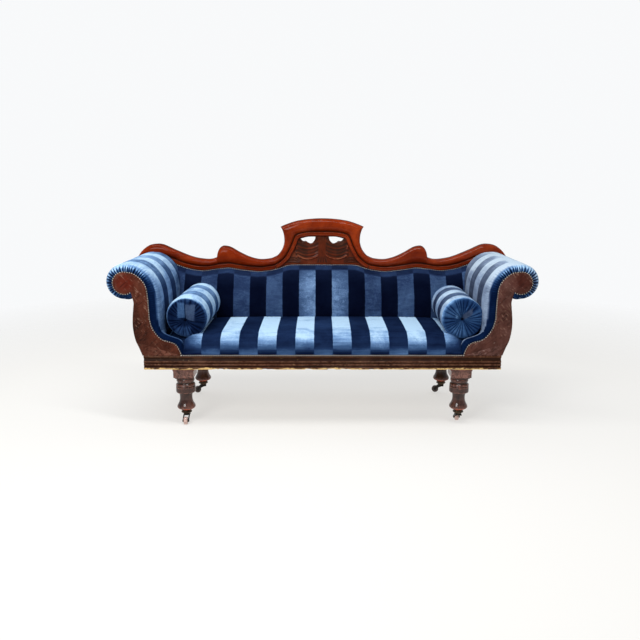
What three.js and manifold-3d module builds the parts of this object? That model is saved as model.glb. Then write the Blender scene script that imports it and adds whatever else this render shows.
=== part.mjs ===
// A scroll-arm settee: a sprung seat between two rolled and padded arms, under a shaped crest with a
// pierced pediment, on four turned legs with cup casters, and with two loose bolsters.
// Millimetres. X runs along the seat, -Y is the front and +Z is up. The origin is on the floor, in the
// middle of the settee's box. Left and right are as seen from the front.

import * as THREE from "three";
import { mergeVertices } from "three/addons/utils/BufferGeometryUtils.js";
import Module from "manifold-3d";

const wasm = await Module();
wasm.setup();

// Clearances that all pieces share
const gap = 0.3;
const overrun = 5;

// Seat frame
const railLength = 1744;
const frameDepth = 615;
const railHeight = 71;
const railThickness = 32;
const rearRailHeight = 70;
const bearerWidth = 110;
const bearerHeight = 40;
const crossRailWidth = 44;
const cornerBlockLeg = 70;
const cornerBlockHeight = 45;

// Legs
const legInset = 189;
const blockWidth = 100;
const blockHeight = 44.5;
const blockReveal = 10;
const bandHeight = 9;
const bandProjection = 2.5;
const turnedHeight = 194.5;
const tipRadius = 18;
const pegRadius = 15;
const pegLength = 28;

// Casters
const wheelRadius = 19.4;
const wheelWidth = 20;
const axleRadius = 3;
const wheelSideClearance = 0.8;
const wheelTopClearance = 1.8;
const forkArmThickness = 5.5;
const axleBossRadius = 7.5;
const casterTrail = 32;
const crownRadius = 17;
const crownThickness = 4.7;
const swivelPinRadius = 4;
const cupFloorThickness = 5;
const cupHeight = 22;
const cupWall = 7;
const cupFootRadius = 16.5;
const swivelAngles = { front_left: 0, front_right: 180, rear_left: -80, rear_right: -100 };

// Arms
const scrollReach = 129;
const scrollHeight = 407;
const eyeRadius = 52;
const facingThickness = 28;
const rollPadding = 39;
const rollPadLift = 4;
const rollPadHeight = 86;
const armPadding = 52;
const armRailRadius = 38;
const coverThickness = 3;

// Back
const backLean = 45;
const crestThickness = 50;
const scrollOverTrim = 37;
const crestRise = 258;
const crestOverrun = 29;
const pedimentHalf = 233;
const beadHeight = 26;
const panelThickness = 20;
const postThickness = 30;
const postWidth = 46;
const midPostWidth = 40;
const tackRailHeight = 40;
const tackRailLift = 40;
const lumbarDepth = 127;
const coverLap = 25;

// Seat, bolsters and springs
const seatPadHeight = 99;
const frontRollDepth = 80;
const bolsterRadius = 100;
const bolsterLength = 390;
const bolsterDimple = 16;
const leftBolsterToArm = 22;
const leftBolsterTurn = 2.8;
const rightBolsterToArm = 1;
const bolsterToBack = 8;
const springRadius = 40;
const springWaist = 28;
const springWire = 4.5;
const twineWidth = 3;
const webWidth = 50;
const webThickness = 3;

// Heights and places that follow from the sizes above
const wheelSides = 16;
const axleHeight = wheelRadius * Math.cos(Math.PI / wheelSides);
const crownBottom = axleHeight + wheelRadius + wheelTopClearance;
const crownTop = crownBottom + crownThickness;
const cupBottom = crownTop + gap;
const cupFloorTop = cupBottom + cupFloorThickness;
const legTip = cupFloorTop + gap;
const blockBottom = legTip + turnedHeight;
const railUnderside = blockBottom + blockHeight + gap;
const railTop = railUnderside + railHeight;
const rearRailTop = railUnderside + rearRailHeight;

const frontFace = -(frameDepth + backLean) / 2;
const frameBack = frontFace + frameDepth;
const crestBack = frameBack + backLean;
const crestFront = crestBack - crestThickness;
const frontRailBack = frontFace + railThickness;
const rearRailFront = frameBack - railThickness;
const facingBack = frontFace + facingThickness;
const railEnd = railLength / 2;
const legX = railEnd - legInset;
const frontLegY = frontFace + blockReveal + blockWidth / 2;
const rearLegY = frameBack - blockWidth / 2;

// Outlines are lists of [across, up] points, and smooth stretches are splines through a few of them
function smooth(points, steps) {
  const spline = new THREE.SplineCurve(points.map(([across, up]) => new THREE.Vector2(across, up)));
  return spline.getPoints(steps).map((point) => [point.x, point.y]);
}

function arc([centreAcross, centreUp], [radiusAcross, radiusUp], fromDegrees, toDegrees, steps) {
  return Array.from({ length: steps + 1 }, (_, step) => {
    const angle = THREE.MathUtils.degToRad(fromDegrees + ((toDegrees - fromDegrees) * step) / steps);
    return [centreAcross + radiusAcross * Math.cos(angle), centreUp + radiusUp * Math.sin(angle)];
  });
}

// An open outline moved to the right of the way it runs
function offset(points, distance) {
  const rightOf = ([fromAcross, fromUp], [toAcross, toUp]) => {
    const length = Math.hypot(toAcross - fromAcross, toUp - fromUp);
    return [(toUp - fromUp) / length, (fromAcross - toAcross) / length];
  };
  return points.map((point, i) => {
    const before = rightOf(points[Math.max(i - 1, 0)], points[Math.max(i, 1)]);
    const last = points.length - 1;
    const after = rightOf(points[Math.min(i, last - 1)], points[Math.min(i + 1, last)]);
    const mitre = distance / (1 + before[0] * after[0] + before[1] * after[1]);
    return [point[0] + mitre * (before[0] + after[0]), point[1] + mitre * (before[1] + after[1])];
  });
}

function scaled(shares, across, up) {
  return shares.map(([acrossShare, upShare]) => [acrossShare * across, upShare * up]);
}

// The height of an outline at a place across it, for an outline whose points run one way
function heightAt(outline, across) {
  const rising = outline[0][0] < outline[outline.length - 1][0] ? outline : [...outline].reverse();
  const next = rising.findIndex(([place]) => place >= across);
  if (next === 0) return rising[0][1];
  if (next < 0) return rising[rising.length - 1][1];
  const [before, after] = [rising[next - 1], rising[next]];
  const share = (across - before[0]) / (after[0] - before[0]);
  return before[1] + share * (after[1] - before[1]);
}

// The place across of an outline at a height, for an outline that climbs all the way
function acrossAt(outline, up) {
  return heightAt(outline.map(([across, height]) => [height, across]), up);
}

// A closed skin over loops of [x, y, z] points, all with the same count; flatAxes name the two axes in
// which the end loops are filled in
function loft(loops, flatAxes) {
  const count = loops[0].length;
  const lastStart = (loops.length - 1) * count;
  const indices = [];
  for (let row = 0; row < loops.length - 1; row += 1) {
    for (let column = 0; column < count; column += 1) {
      const a = row * count + column;
      const b = row * count + ((column + 1) % count);
      indices.push(a, b, b + count, a, b + count, a + count);
    }
  }
  for (const [a, b, c] of filling(loops[0], flatAxes)) indices.push(a, c, b);
  for (const triangle of filling(loops.at(-1), flatAxes)) indices.push(...triangle.map((i) => lastStart + i));
  return outward(makeGeometry(loops.flat(2), indices));
}

// Triangles that fill a loop and wind the way it runs. A point on a straight stretch is bowed out by a
// hair for this alone, so that the filling uses every point
const hairShare = 1e-5;
function filling(loop, [acrossAxis, upAxis]) {
  const flat = loop.map((point) => new THREE.Vector2(point[acrossAxis], point[upAxis]));
  const turn = Math.sign(THREE.ShapeUtils.area(flat));
  const bowed = flat.map((point, i) => {
    const before = flat[(i + flat.length - 1) % flat.length];
    const chord = flat[(i + 1) % flat.length].clone().sub(before);
    const offLine = Math.abs(chord.clone().cross(point.clone().sub(before)));
    if (offLine > hairShare * chord.lengthSq()) return point;
    return new THREE.Vector2(point.x + turn * hairShare * chord.y, point.y - turn * hairShare * chord.x);
  });
  return THREE.ShapeUtils.triangulateShape(bowed, []).map(([a, b, c]) => {
    const same = Math.sign(THREE.ShapeUtils.area([bowed[a], bowed[b], bowed[c]])) === turn;
    return same ? [a, b, c] : [a, c, b];
  });
}

function makeGeometry(positions, indices) {
  const geometry = new THREE.BufferGeometry();
  geometry.setAttribute("position", new THREE.Float32BufferAttribute(positions, 3));
  geometry.setIndex(indices);
  geometry.computeVertexNormals();
  return geometry;
}

function turnedInsideOut(geometry) {
  const index = geometry.index.array;
  for (let corner = 0; corner < index.length; corner += 3) {
    [index[corner + 1], index[corner + 2]] = [index[corner + 2], index[corner + 1]];
  }
  geometry.computeVertexNormals();
  return geometry;
}

function outward(geometry) {
  const position = geometry.attributes.position;
  const index = geometry.index.array;
  const corners = [new THREE.Vector3(), new THREE.Vector3(), new THREE.Vector3()];
  let volume = 0;
  for (let start = 0; start < index.length; start += 3) {
    corners.forEach((corner, offset) => corner.fromBufferAttribute(position, index[start + offset]));
    volume += corners[0].dot(corners[1].clone().cross(corners[2]));
  }
  return volume < 0 ? turnedInsideOut(geometry) : geometry;
}

function mirrored(geometry) {
  const copy = geometry.clone();
  const position = copy.attributes.position;
  for (let vertex = 0; vertex < position.count; vertex += 1) position.setX(vertex, -position.getX(vertex));
  return turnedInsideOut(copy);
}

// A prism: an [x, z] outline carried along Y, or a [y, z] outline carried along X
function alongY(outline, from, to) {
  return loft([from, to].map((y) => outline.map(([x, z]) => [x, y, z])), [0, 2]);
}

function alongX(outline, from, to) {
  return loft([from, to].map((x) => outline.map(([y, z]) => [x, y, z])), [1, 2]);
}

function box([x0, y0, z0], [x1, y1, z1]) {
  const geometry = new THREE.BoxGeometry(x1 - x0, y1 - y0, z1 - z0);
  return geometry.translate((x0 + x1) / 2, (y0 + y1) / 2, (z0 + z1) / 2);
}

// One corner for each place, as a closed skin needs
function welded(geometry) {
  const bare = geometry.clone();
  bare.deleteAttribute("normal");
  bare.deleteAttribute("uv");
  return mergeVertices(bare);
}

// A ring turned from a closed profile of [radius, up] points
function ring(profile, sides) {
  const points = profile.map(([radius, up]) => new THREE.Vector2(radius, up));
  return welded(new THREE.LatheGeometry(points, sides)).rotateX(Math.PI / 2);
}

// Solids for joining and cutting
function solid(geometry) {
  const merged = welded(geometry);
  const triangles = [];
  for (let start = 0; start < merged.index.count; start += 3) {
    const [a, b, c] = merged.index.array.slice(start, start + 3);
    if (a !== b && b !== c && c !== a) triangles.push(a, b, c);
  }
  return new wasm.Manifold(
    new wasm.Mesh({
      numProp: 3,
      vertProperties: merged.attributes.position.array,
      triVerts: new Uint32Array(triangles),
    }),
  );
}

function surface(manifold) {
  const mesh = manifold.getMesh();
  return makeGeometry(Array.from(mesh.vertProperties), Array.from(mesh.triVerts));
}

function joined(...geometries) {
  return surface(geometries.map(solid).reduce((whole, next) => whole.add(next)).asOriginal());
}

function cut(geometry, ...tools) {
  return surface(tools.map(solid).reduce((whole, tool) => whole.subtract(tool), solid(geometry)));
}

// The radius of a faceted bore whose flats clear a round pin
function boreRadius(pinRadius, sides) {
  return (pinRadius + gap) / Math.cos(Math.PI / sides);
}

// Materials
const crestWood = new THREE.MeshStandardMaterial({ color: 0x7a2a12, roughness: 0.35 });
const darkWood = new THREE.MeshStandardMaterial({ color: 0x4a2a20, roughness: 0.5 });
const frameWood = new THREE.MeshStandardMaterial({ color: 0x9c7a50, roughness: 0.8 });
const velvet = new THREE.MeshStandardMaterial({ color: 0x1f3f70, roughness: 0.9 });
const lining = new THREE.MeshStandardMaterial({ color: 0x22375c, roughness: 0.9 });
const webbing = new THREE.MeshStandardMaterial({ color: 0xb09a6a, roughness: 0.95 });
const springSteel = new THREE.MeshStandardMaterial({ color: 0x6d6459, roughness: 0.5, metalness: 0.8 });
const casterBrass = new THREE.MeshStandardMaterial({ color: 0x6a5030, roughness: 0.45, metalness: 0.9 });
const casterIron = new THREE.MeshStandardMaterial({ color: 0x33302e, roughness: 0.5, metalness: 0.8 });
const porcelain = new THREE.MeshStandardMaterial({ color: 0xd9c3b4, roughness: 0.3 });

const settee = new THREE.Group();

function addPiece(name, geometry, material, parent = settee) {
  const mesh = new THREE.Mesh(geometry, material);
  mesh.name = name;
  parent.add(mesh);
  return mesh;
}

function addPair(name, rightGeometry, material) {
  addPiece(`left_${name}`, mirrored(rightGeometry), material);
  addPiece(`right_${name}`, rightGeometry, material);
}

// Seat frame: the moulded front rail, plain rear and end rails, and the bearers that hold the legs
const railMouldingShares = [
  [0.14, 0],
  [0, 0.05],
  [0, 0.14],
  [0.12, 0.18],
  [0.12, 0.24],
  [0.03, 0.28],
  [0.03, 0.46],
  [0.12, 0.5],
  [0.05, 0.62],
  [0.2, 0.78],
  [0.06, 0.86],
  [0.06, 0.96],
  [0.12, 1],
  [1, 1],
  [1, 0],
];
const frontRailSection = scaled(railMouldingShares, railThickness, railHeight);
addPiece(
  "front_seat_rail",
  alongX(frontRailSection.map(([back, up]) => [frontFace + back, railUnderside + up]), -railEnd, railEnd),
  darkWood,
);
addPiece(
  "back_seat_rail",
  box([-railEnd, rearRailFront, railUnderside], [railEnd, frameBack, rearRailTop]),
  darkWood,
);

const innerFront = frontRailBack + gap;
const innerBack = rearRailFront - gap;
addPair(
  "end_rail",
  box([railEnd - railThickness, innerFront, railUnderside], [railEnd, innerBack, railTop]),
  darkWood,
);

const pegSides = 16;
function bearer() {
  const outline = new THREE.Shape();
  outline.moveTo(-bearerWidth / 2, innerFront);
  outline.lineTo(bearerWidth / 2, innerFront);
  outline.lineTo(bearerWidth / 2, innerBack);
  outline.lineTo(-bearerWidth / 2, innerBack);
  outline.closePath();
  for (const legY of [frontLegY, rearLegY]) {
    const hole = new THREE.Path();
    hole.absarc(0, legY, boreRadius(pegRadius, pegSides), 0, 2 * Math.PI, true);
    outline.holes.push(hole);
  }
  const solidBearer = new THREE.ExtrudeGeometry(outline, {
    depth: bearerHeight,
    bevelEnabled: false,
    curveSegments: pegSides / 2,
  });
  return welded(solidBearer).translate(legX, 0, railUnderside);
}

addPair("leg_bearer", bearer(), frameWood);

addPiece(
  "seat_cross_rail",
  box(
    [-crossRailWidth / 2, innerFront, railUnderside],
    [crossRailWidth / 2, innerBack, railUnderside + bearerHeight],
  ),
  frameWood,
);

function cornerBlock(cornerY, inward) {
  const cornerX = railEnd - railThickness - gap;
  const corner = [
    [cornerX, cornerY],
    [cornerX - cornerBlockLeg, cornerY],
    [cornerX, cornerY + inward * cornerBlockLeg],
  ];
  const blockTop = railUnderside + cornerBlockHeight;
  return loft([railUnderside, blockTop].map((z) => corner.map(([x, y]) => [x, y, z])), [0, 1]);
}
addPair("front_corner_block", cornerBlock(innerFront + gap, 1), frameWood);
addPair("rear_corner_block", cornerBlock(innerBack - gap, -1), frameWood);

// Webbing: strips nailed under the rails, crossing in one net; the outer strips run beside the legs
const webTop = railUnderside - gap;
const webBottom = webTop - webThickness;
const webPitchShare = 0.115;
const webRowShares = [0.3, 0.53, 0.74];
const webInsetShare = 0.33;
function webbingNet() {
  const inset = webInsetShare * railThickness;
  const webFront = frontFace + inset;
  const webBack = frameBack - inset;
  const rowEnd = railEnd - inset;
  const reach = legX - (blockWidth + webWidth) / 2 - bandProjection - gap;
  const outer = (legX + blockWidth / 2 + railEnd) / 2;
  const across = [-outer, 0, outer];
  const pitch = railLength * webPitchShare;
  for (let x = pitch; x <= reach; x += pitch) across.push(-x, x);
  const strips = across.map((x) =>
    box([x - webWidth / 2, webFront, webBottom], [x + webWidth / 2, webBack, webTop]),
  );
  for (const share of webRowShares) {
    const y = webFront + share * (webBack - webFront);
    strips.push(box([-rowEnd, y - webWidth / 2, webBottom], [rowEnd, y + webWidth / 2, webTop]));
  }
  return joined(...strips);
}
addPiece("seat_webbing", webbingNet(), webbing);

// Springs: two rows of waisted coils that stand on the webbing, tied by a twine across their tops
const springTurns = 3;
const stepsPerTurn = 7;
const springPlaceShares = [-0.255, -0.085, 0.085, 0.255];
const springRowShares = { front: webRowShares[0], rear: webRowShares[2] };
const springBottom = webTop + gap;
const springTop = railTop - gap;

function coil(centreX, centreY) {
  const steps = springTurns * stepsPerTurn;
  const half = springWire / 2;
  const low = springBottom + half;
  const high = springTop - half - twineWidth / 2;
  const loops = Array.from({ length: steps + 1 }, (_, step) => {
    const share = step / steps;
    const angle = (2 * Math.PI * step) / stepsPerTurn;
    const radius = springWaist + (springRadius - springWaist) * (2 * share - 1) ** 2;
    const z = low + share * (high - low);
    const corners = [
      [radius - half, z - half],
      [radius + half, z - half],
      [radius + half, z + half],
      [radius - half, z + half],
    ];
    return corners.map(([r, up]) => [centreX + r * Math.cos(angle), centreY + r * Math.sin(angle), up]);
  });
  return loft(loops, [0, 2]);
}

function springRow(y) {
  const places = springPlaceShares.map((share) => share * railLength);
  const coils = places.map((x) => coil(x, y));
  const end = places[places.length - 1] + springRadius + springWire;
  const twine = box([-end, y - twineWidth / 2, springTop - twineWidth], [end, y + twineWidth / 2, springTop]);
  return joined(...coils, twine);
}
for (const [row, share] of Object.entries(springRowShares)) {
  const y = frontFace + share * frameDepth;
  addPiece(`${row}_spring_row`, springRow(y), springSteel);
}

// Legs: a square block over a turned shaft, with a peg into the bearer and a tip in the caster's cup
const legSides = 16;
const legProfileShares = [
  [0.43, 0.106],
  [0.53, 0.133],
  [0.84, 0.179],
  [0.88, 0.24],
  [0.66, 0.328],
  [0.62, 0.405],
  [0.68, 0.523],
  [0.92, 0.554],
  [0.94, 0.713],
  [0.8, 0.801],
  [0.8, 0.83],
  [0.88, 0.845],
  [0.88, 0.923],
];
const tipLengthShare = 0.101;

function leg() {
  const profile = [
    [0, legTip],
    [tipRadius, legTip],
    [tipRadius, legTip + tipLengthShare * turnedHeight],
    ...legProfileShares.map(([out, up]) => [(out * blockWidth) / 2, legTip + up * turnedHeight]),
    [(legProfileShares.at(-1)[0] * blockWidth) / 2, blockBottom + overrun],
    [pegRadius, blockBottom + overrun],
    [pegRadius, railUnderside + pegLength],
    [0, railUnderside + pegLength],
  ];
  const points = profile.map(([radius, up]) => new THREE.Vector2(radius, up));
  const turned = new THREE.LatheGeometry(points, legSides).rotateX(Math.PI / 2);
  const half = blockWidth / 2;
  const bandHalf = half + bandProjection;
  const blockTop = blockBottom + blockHeight;
  return joined(
    turned,
    box([-half, -half, blockBottom], [half, half, blockTop]),
    box([-bandHalf, -bandHalf, blockTop - bandHeight], [bandHalf, bandHalf, blockTop]),
  );
}

// Casters: a cup on the leg's tip, a fork that swivels under it, and a wheel on an axle through the fork
const cupSides = 12;
const boreSides = 8;
const bossStart = 140;
const bossEnd = 340;
const bossSteps = 5;

function casterCup() {
  const bore = boreRadius(tipRadius, cupSides);
  const rim = cupBottom + cupHeight;
  const bead = cupWall / 2;
  const pinBore = boreRadius(swivelPinRadius, boreSides);
  const profile = [
    [pinBore, cupBottom],
    [cupFootRadius, cupBottom],
    [bore + bead / 2, cupFloorTop],
    [bore + bead, rim - cupWall],
    [bore + cupWall, rim - cupWall],
    [bore + cupWall, rim],
    [bore, rim],
    [bore, cupFloorTop],
    [pinBore, cupFloorTop],
    [pinBore, cupBottom],
  ];
  return ring(profile, cupSides);
}

function casterFork() {
  const crown = new THREE.CylinderGeometry(crownRadius, crownRadius, crownThickness, cupSides)
    .rotateX(Math.PI / 2)
    .translate(0, 0, (crownBottom + crownTop) / 2);
  const pinTop = cupFloorTop;
  const pin = new THREE.CylinderGeometry(swivelPinRadius, swivelPinRadius, pinTop - crownBottom, boreSides)
    .rotateX(Math.PI / 2)
    .translate(0, 0, (pinTop + crownBottom) / 2);
  const halfCrown = crownRadius * Math.SQRT1_2;
  const bossCentre = [-casterTrail, axleHeight];
  const boss = arc(bossCentre, [axleBossRadius, axleBossRadius], bossStart, bossEnd, bossSteps);
  const armOutline = [[-halfCrown, crownTop], ...boss, [halfCrown, crownBottom], [halfCrown, crownTop]];
  const inner = wheelWidth / 2 + wheelSideClearance;
  const outer = inner + forkArmThickness;
  const axleHole = new THREE.CylinderGeometry(
    boreRadius(axleRadius, boreSides),
    boreRadius(axleRadius, boreSides),
    2 * (outer + overrun),
    boreSides,
  )
    .rotateZ(Math.PI / 2)
    .translate(0, -casterTrail, axleHeight);
  const arms = [alongX(armOutline, inner, outer), alongX(armOutline, -outer, -inner)];
  return cut(joined(crown, pin, ...arms), axleHole);
}

function casterAxle() {
  const length = 2 * (wheelWidth / 2 + wheelSideClearance + forkArmThickness);
  return new THREE.CylinderGeometry(axleRadius, axleRadius, length, boreSides)
    .rotateZ(Math.PI / 2)
    .translate(0, -casterTrail, axleHeight);
}

const wheelProfileShares = [
  [1, 0.66],
  [0.8, 0.66],
  [0.45, 1],
];
function casterWheel() {
  const bore = boreRadius(axleRadius, boreSides);
  const half = wheelWidth / 2;
  const side = scaled(wheelProfileShares, wheelRadius, half);
  const profile = [
    [bore, -half],
    ...side.map(([radius, out]) => [radius, -out]).reverse(),
    ...side,
    [bore, half],
    [bore, -half],
  ];
  return ring(profile, wheelSides)
    .rotateZ(Math.PI / wheelSides)
    .rotateY(Math.PI / 2)
    .translate(0, -casterTrail, axleHeight);
}

const legPlaces = {
  front_left: [-legX, frontLegY],
  front_right: [legX, frontLegY],
  rear_left: [-legX, rearLegY],
  rear_right: [legX, rearLegY],
};
for (const [corner, [x, y]] of Object.entries(legPlaces)) {
  addPiece(`${corner}_leg`, leg(), darkWood).position.set(x, y, 0);
  addPiece(`${corner}_caster_cup`, casterCup(), casterBrass).position.set(x, y, 0);
  const swivel = new THREE.Group();
  swivel.position.set(x, y, 0);
  swivel.rotation.z = THREE.MathUtils.degToRad(swivelAngles[corner]);
  settee.add(swivel);
  addPiece(`${corner}_caster_fork`, casterFork(), casterIron, swivel);
  addPiece(`${corner}_caster_axle`, casterAxle(), casterIron, swivel);
  addPiece(`${corner}_caster_wheel`, casterWheel(), porcelain, swivel);
}

// Arms: their outlines are measured outwards from the frame's end and up from the rails' top, in shares
// of the scroll's reach and height
const outerEdgeShares = [
  [0.031, 0],
  [0.147, 0.098],
  [0.264, 0.189],
  [0.333, 0.319],
  [0.333, 0.442],
  [0.279, 0.595],
  [0.267, 0.644],
  [0.302, 0.703],
];
const upperInnerShares = [
  [0.333, 0.99],
  [0.186, 0.971],
  [-0.023, 0.916],
  [-0.178, 0.838],
  [-0.24, 0.725],
  [-0.264, 0.541],
  [-0.271, 0.437],
];
const footShares = [
  [-0.271, 0.437],
  [-0.364, 0.329],
  [-0.55, 0.238],
  [-0.767, 0.182],
  [-1.07, 0.155],
  [-1.194, 0.135],
  [-1.287, 0.103],
  [-1.38, 0.037],
  [-1.403, 0],
];
const padInnerShares = [
  [0.233, 1.083],
  [-0.047, 1.042],
  [-0.279, 0.978],
  [-0.47, 0.89],
  [-0.6, 0.79],
  [-0.66, 0.663],
  [-0.674, 0.5],
];
const eyeStart = -128;
const eyeEnd = 100;
const eyeSteps = 14;
const edgeSteps = 12;
const armBase = railTop + gap;
const eyeCentre = [scrollReach - eyeRadius, scrollHeight - eyeRadius];
const placed = (outline) => outline.map(([out, up]) => [railEnd + out, armBase + up]);

const eye = arc(eyeCentre, [eyeRadius, eyeRadius], eyeStart, eyeEnd, eyeSteps);
const outerEdge = smooth([...scaled(outerEdgeShares, scrollReach, scrollHeight), eye[0]], edgeSteps);
const upperInnerEdge = smooth(scaled(upperInnerShares, scrollReach, scrollHeight), edgeSteps);
const footEdge = smooth(scaled(footShares, scrollReach, scrollHeight), edgeSteps + 2);
const woodInner = upperInnerEdge.at(-1)[0];

const facingOutline = placed([...outerEdge, ...eye.slice(1), ...upperInnerEdge, ...footEdge.slice(1)]);
addPair("arm_facing", alongY(facingOutline, frontFace, facingBack), darkWood);

const rearArmBase = rearRailTop + gap - armBase;
const rearScrollOutline = placed([
  [outerEdge[0][0], rearArmBase],
  ...outerEdge.slice(1),
  ...eye.slice(1),
  ...upperInnerEdge,
  [woodInner, rearArmBase],
]);
const rearScrollFront = rearRailFront + gap;
const rearScrollBack = crestFront - gap;
addPair("rear_arm_scroll", alongY(rearScrollOutline, rearScrollFront, rearScrollBack), darkWood);

const armRailSides = 16;
const [armFrom, armTo] = [facingBack + gap, rearScrollFront - gap];
const armRail = new THREE.CylinderGeometry(armRailRadius, armRailRadius, armTo - armFrom, armRailSides);
armRail.translate(railEnd + eyeCentre[0], (armFrom + armTo) / 2, armBase + eyeCentre[1]);
addPair("arm_top_rail", armRail, frameWood);

// The outside cover is nailed between the two scrolls, flush with their outer edges
const coverHeightShare = 0.72;
const coverEdge = outerEdge.filter(([, up]) => up < scrollHeight * coverHeightShare);
const coverOutline = placed([
  ...coverEdge,
  ...coverEdge.map(([out, up]) => [out - coverThickness, up]).reverse(),
]);
addPair("outside_arm_cover", alongY(coverOutline, armFrom, armTo), lining);

// The arm's padding wraps the scroll and runs down its inner face to the seat. Its rows are [place
// behind the facing or the rear scroll, in shares of the facing's thickness; share of the full padding]
const padFrontRowShares = [
  [-0.6, 0.74],
  [-0.3, 0.93],
  [0.6, 1],
];
const padRearRowShares = [
  [-0.6, 1],
  [0, 0.9],
];
const padInner = woodInner - armPadding;
const rollCentre = [eyeCentre[0], eyeCentre[1] + rollPadLift];
const padRollStart = -114;
const rollSkin = arc(rollCentre, [eyeRadius + rollPadding, rollPadHeight], padRollStart, eyeEnd, eyeSteps);
const padFaceShares = padInnerShares.map(([out, up]) => [out / padInnerShares.at(-1)[0], up]);
const innerSkin = [...smooth(scaled(padFaceShares, padInner, scrollHeight), edgeSteps), [padInner, 0]];
const padLow = rollSkin[0][1];
const underScroll = [padLow, (padLow + eye[0][1]) / 2].map((up) => [acrossAt(outerEdge, up), up]);
const woodFace = offset([...underScroll, ...eye, ...upperInnerEdge], gap);
const padSkin = [woodFace[0], ...rollSkin.slice(1), ...innerSkin];
const padCore = [...woodFace.slice(2), [woodFace.at(-1)[0], 0]];
const padRows = [
  ...padFrontRowShares.map(([back, fullness]) => [facingBack + back * facingThickness, fullness]),
  ...padRearRowShares.map(([back, fullness]) => [rearScrollBack + back * facingThickness, fullness]),
];
function armPad() {
  const loops = padRows.map(([y, fullness]) => {
    const skin = padSkin.map(([out, up], i) => {
      const [coreOut, coreUp] = padCore[i];
      return [coreOut + fullness * (out - coreOut), coreUp + fullness * (up - coreUp)];
    });
    return placed([...skin, ...[...padCore].reverse(), woodFace[1]]).map(([x, z]) => [x, y, z]);
  });
  return loft(loops, [0, 2]);
}

// What the facing's foot takes away from the padding and the seat behind it
const footClear = offset(footEdge, gap);
const footToolOutline = placed([
  ...footClear,
  [footClear.at(-1)[0], -overrun],
  [woodInner + overrun, -overrun],
  [woodInner + overrun, footClear[0][1]],
]);
const footTool = alongY(footToolOutline, frontFace - overrun, facingBack + gap);

// Back: posts and a tack rail behind the padding, leaning back from the frame to the crest
const trimHeight = scrollHeight - scrollOverTrim;
const trimLevel = railTop + trimHeight;
const crestTip = railEnd + scrollReach + crestOverrun;
const jointShare = 1.13734;
const pedimentJoint = jointShare * pedimentHalf;
const leanPerHeight = (crestBack - frameBack - (crestThickness - postThickness) / 2 - gap) / trimHeight;
const postFront = (z) => frameBack - postThickness + (z - rearRailTop) * leanPerHeight;
const crestPlace = (shares) =>
  shares.map(([out, up]) => [pedimentJoint + out * (crestTip - pedimentJoint), trimLevel + up * crestRise]);

const sweepTopShares = [
  [1, 0.205],
  [0.975, 0.31],
  [0.929, 0.411],
  [0.878, 0.45],
  [0.82, 0.438],
  [0.733, 0.322],
  [0.625, 0.19],
  [0.552, 0.136],
  [0.478, 0.12],
  [0.427, 0.159],
];
const earTopShares = [
  [0.426, 0.18],
  [0.424, 0.25],
  [0.412, 0.334],
  [0.391, 0.395],
  [0.366, 0.411],
  [0.322, 0.38],
  [0.256, 0.267],
  [0.184, 0.167],
  [0.111, 0.116],
  [0.037, 0.132],
  [0, 0.171],
];
const crestBottomShares = [
  [1, 0.174],
  [0.961, 0.12],
  [0.895, 0.105],
  [0.83, 0.1],
  [0.771, 0.066],
  [0.698, -0.023],
  [0.626, -0.089],
  [0.553, -0.124],
  [0.503, -0.126],
  [0.442, -0.097],
  [0.369, -0.074],
  [0.332, -0.07],
  [0.258, -0.105],
  [0.184, -0.132],
  [0.111, -0.147],
  [0.038, -0.124],
  [0, -0.101],
];
const panelBottomShares = [
  [1, -0.101],
  [0.894, -0.07],
  [0.81, -0.039],
  [0.747, -0.019],
  [0.683, -0.004],
  [0.6, 0],
  [0, 0],
];
const sweepSteps = 8;
const earSteps = 13;
const sideTop = [
  ...smooth(crestPlace(sweepTopShares), sweepSteps),
  ...smooth(crestPlace(earTopShares), earSteps),
];
const sideBottom = crestPlace(crestBottomShares);
const panelBottom = panelBottomShares.map(([out, up]) => [out * pedimentJoint, trimLevel + up * crestRise]);
const crestUnderside = [...sideBottom, ...panelBottom.slice(1)];
const undersideAt = (x) => heightAt(crestUnderside, Math.abs(x));

// The crest's section: a bead along its lower edge, a groove, and a full moulding above it; each point
// is [share of the zone's height, share of the thickness from the front]
const beadZoneShares = [
  [0, 0.24],
  [0.3, 0.14],
  [0.7, 0.16],
  [1, 0.3],
];
const mouldingZoneShares = [
  [0.12, 0.14],
  [0.4, 0],
  [0.7, 0.05],
  [0.93, 0.27],
  [1, 0.55],
  [0.9, 1],
];
const beadZoneLimitShare = 0.4;

function crestLoop([topX, topZ], [bottomX, bottomZ]) {
  const height = Math.hypot(topX - bottomX, topZ - bottomZ);
  const bead = Math.min(beadHeight, height * beadZoneLimitShare) / height;
  const front = beadZoneShares.map(([up, back]) => [up * bead, back]);
  const main = mouldingZoneShares.map(([up, back]) => [bead + up * (1 - bead), back]);
  return [...front, ...main, [0, 1]].map(([up, back]) => [
    bottomX + up * (topX - bottomX),
    crestFront + back * crestThickness,
    bottomZ + up * (topZ - bottomZ),
  ]);
}

const sidePlaces = [...sideTop, ...sideBottom.slice(1, -1)].map(([x]) => x).sort((a, b) => b - a);
const sideCrest = loft(
  sidePlaces.map((x) => crestLoop([x, heightAt(sideTop, x)], [x, undersideAt(x)])),
  [1, 2],
);
addPiece("crest_left", mirrored(sideCrest), crestWood);
addPiece("crest_right", sideCrest, crestWood);

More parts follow.
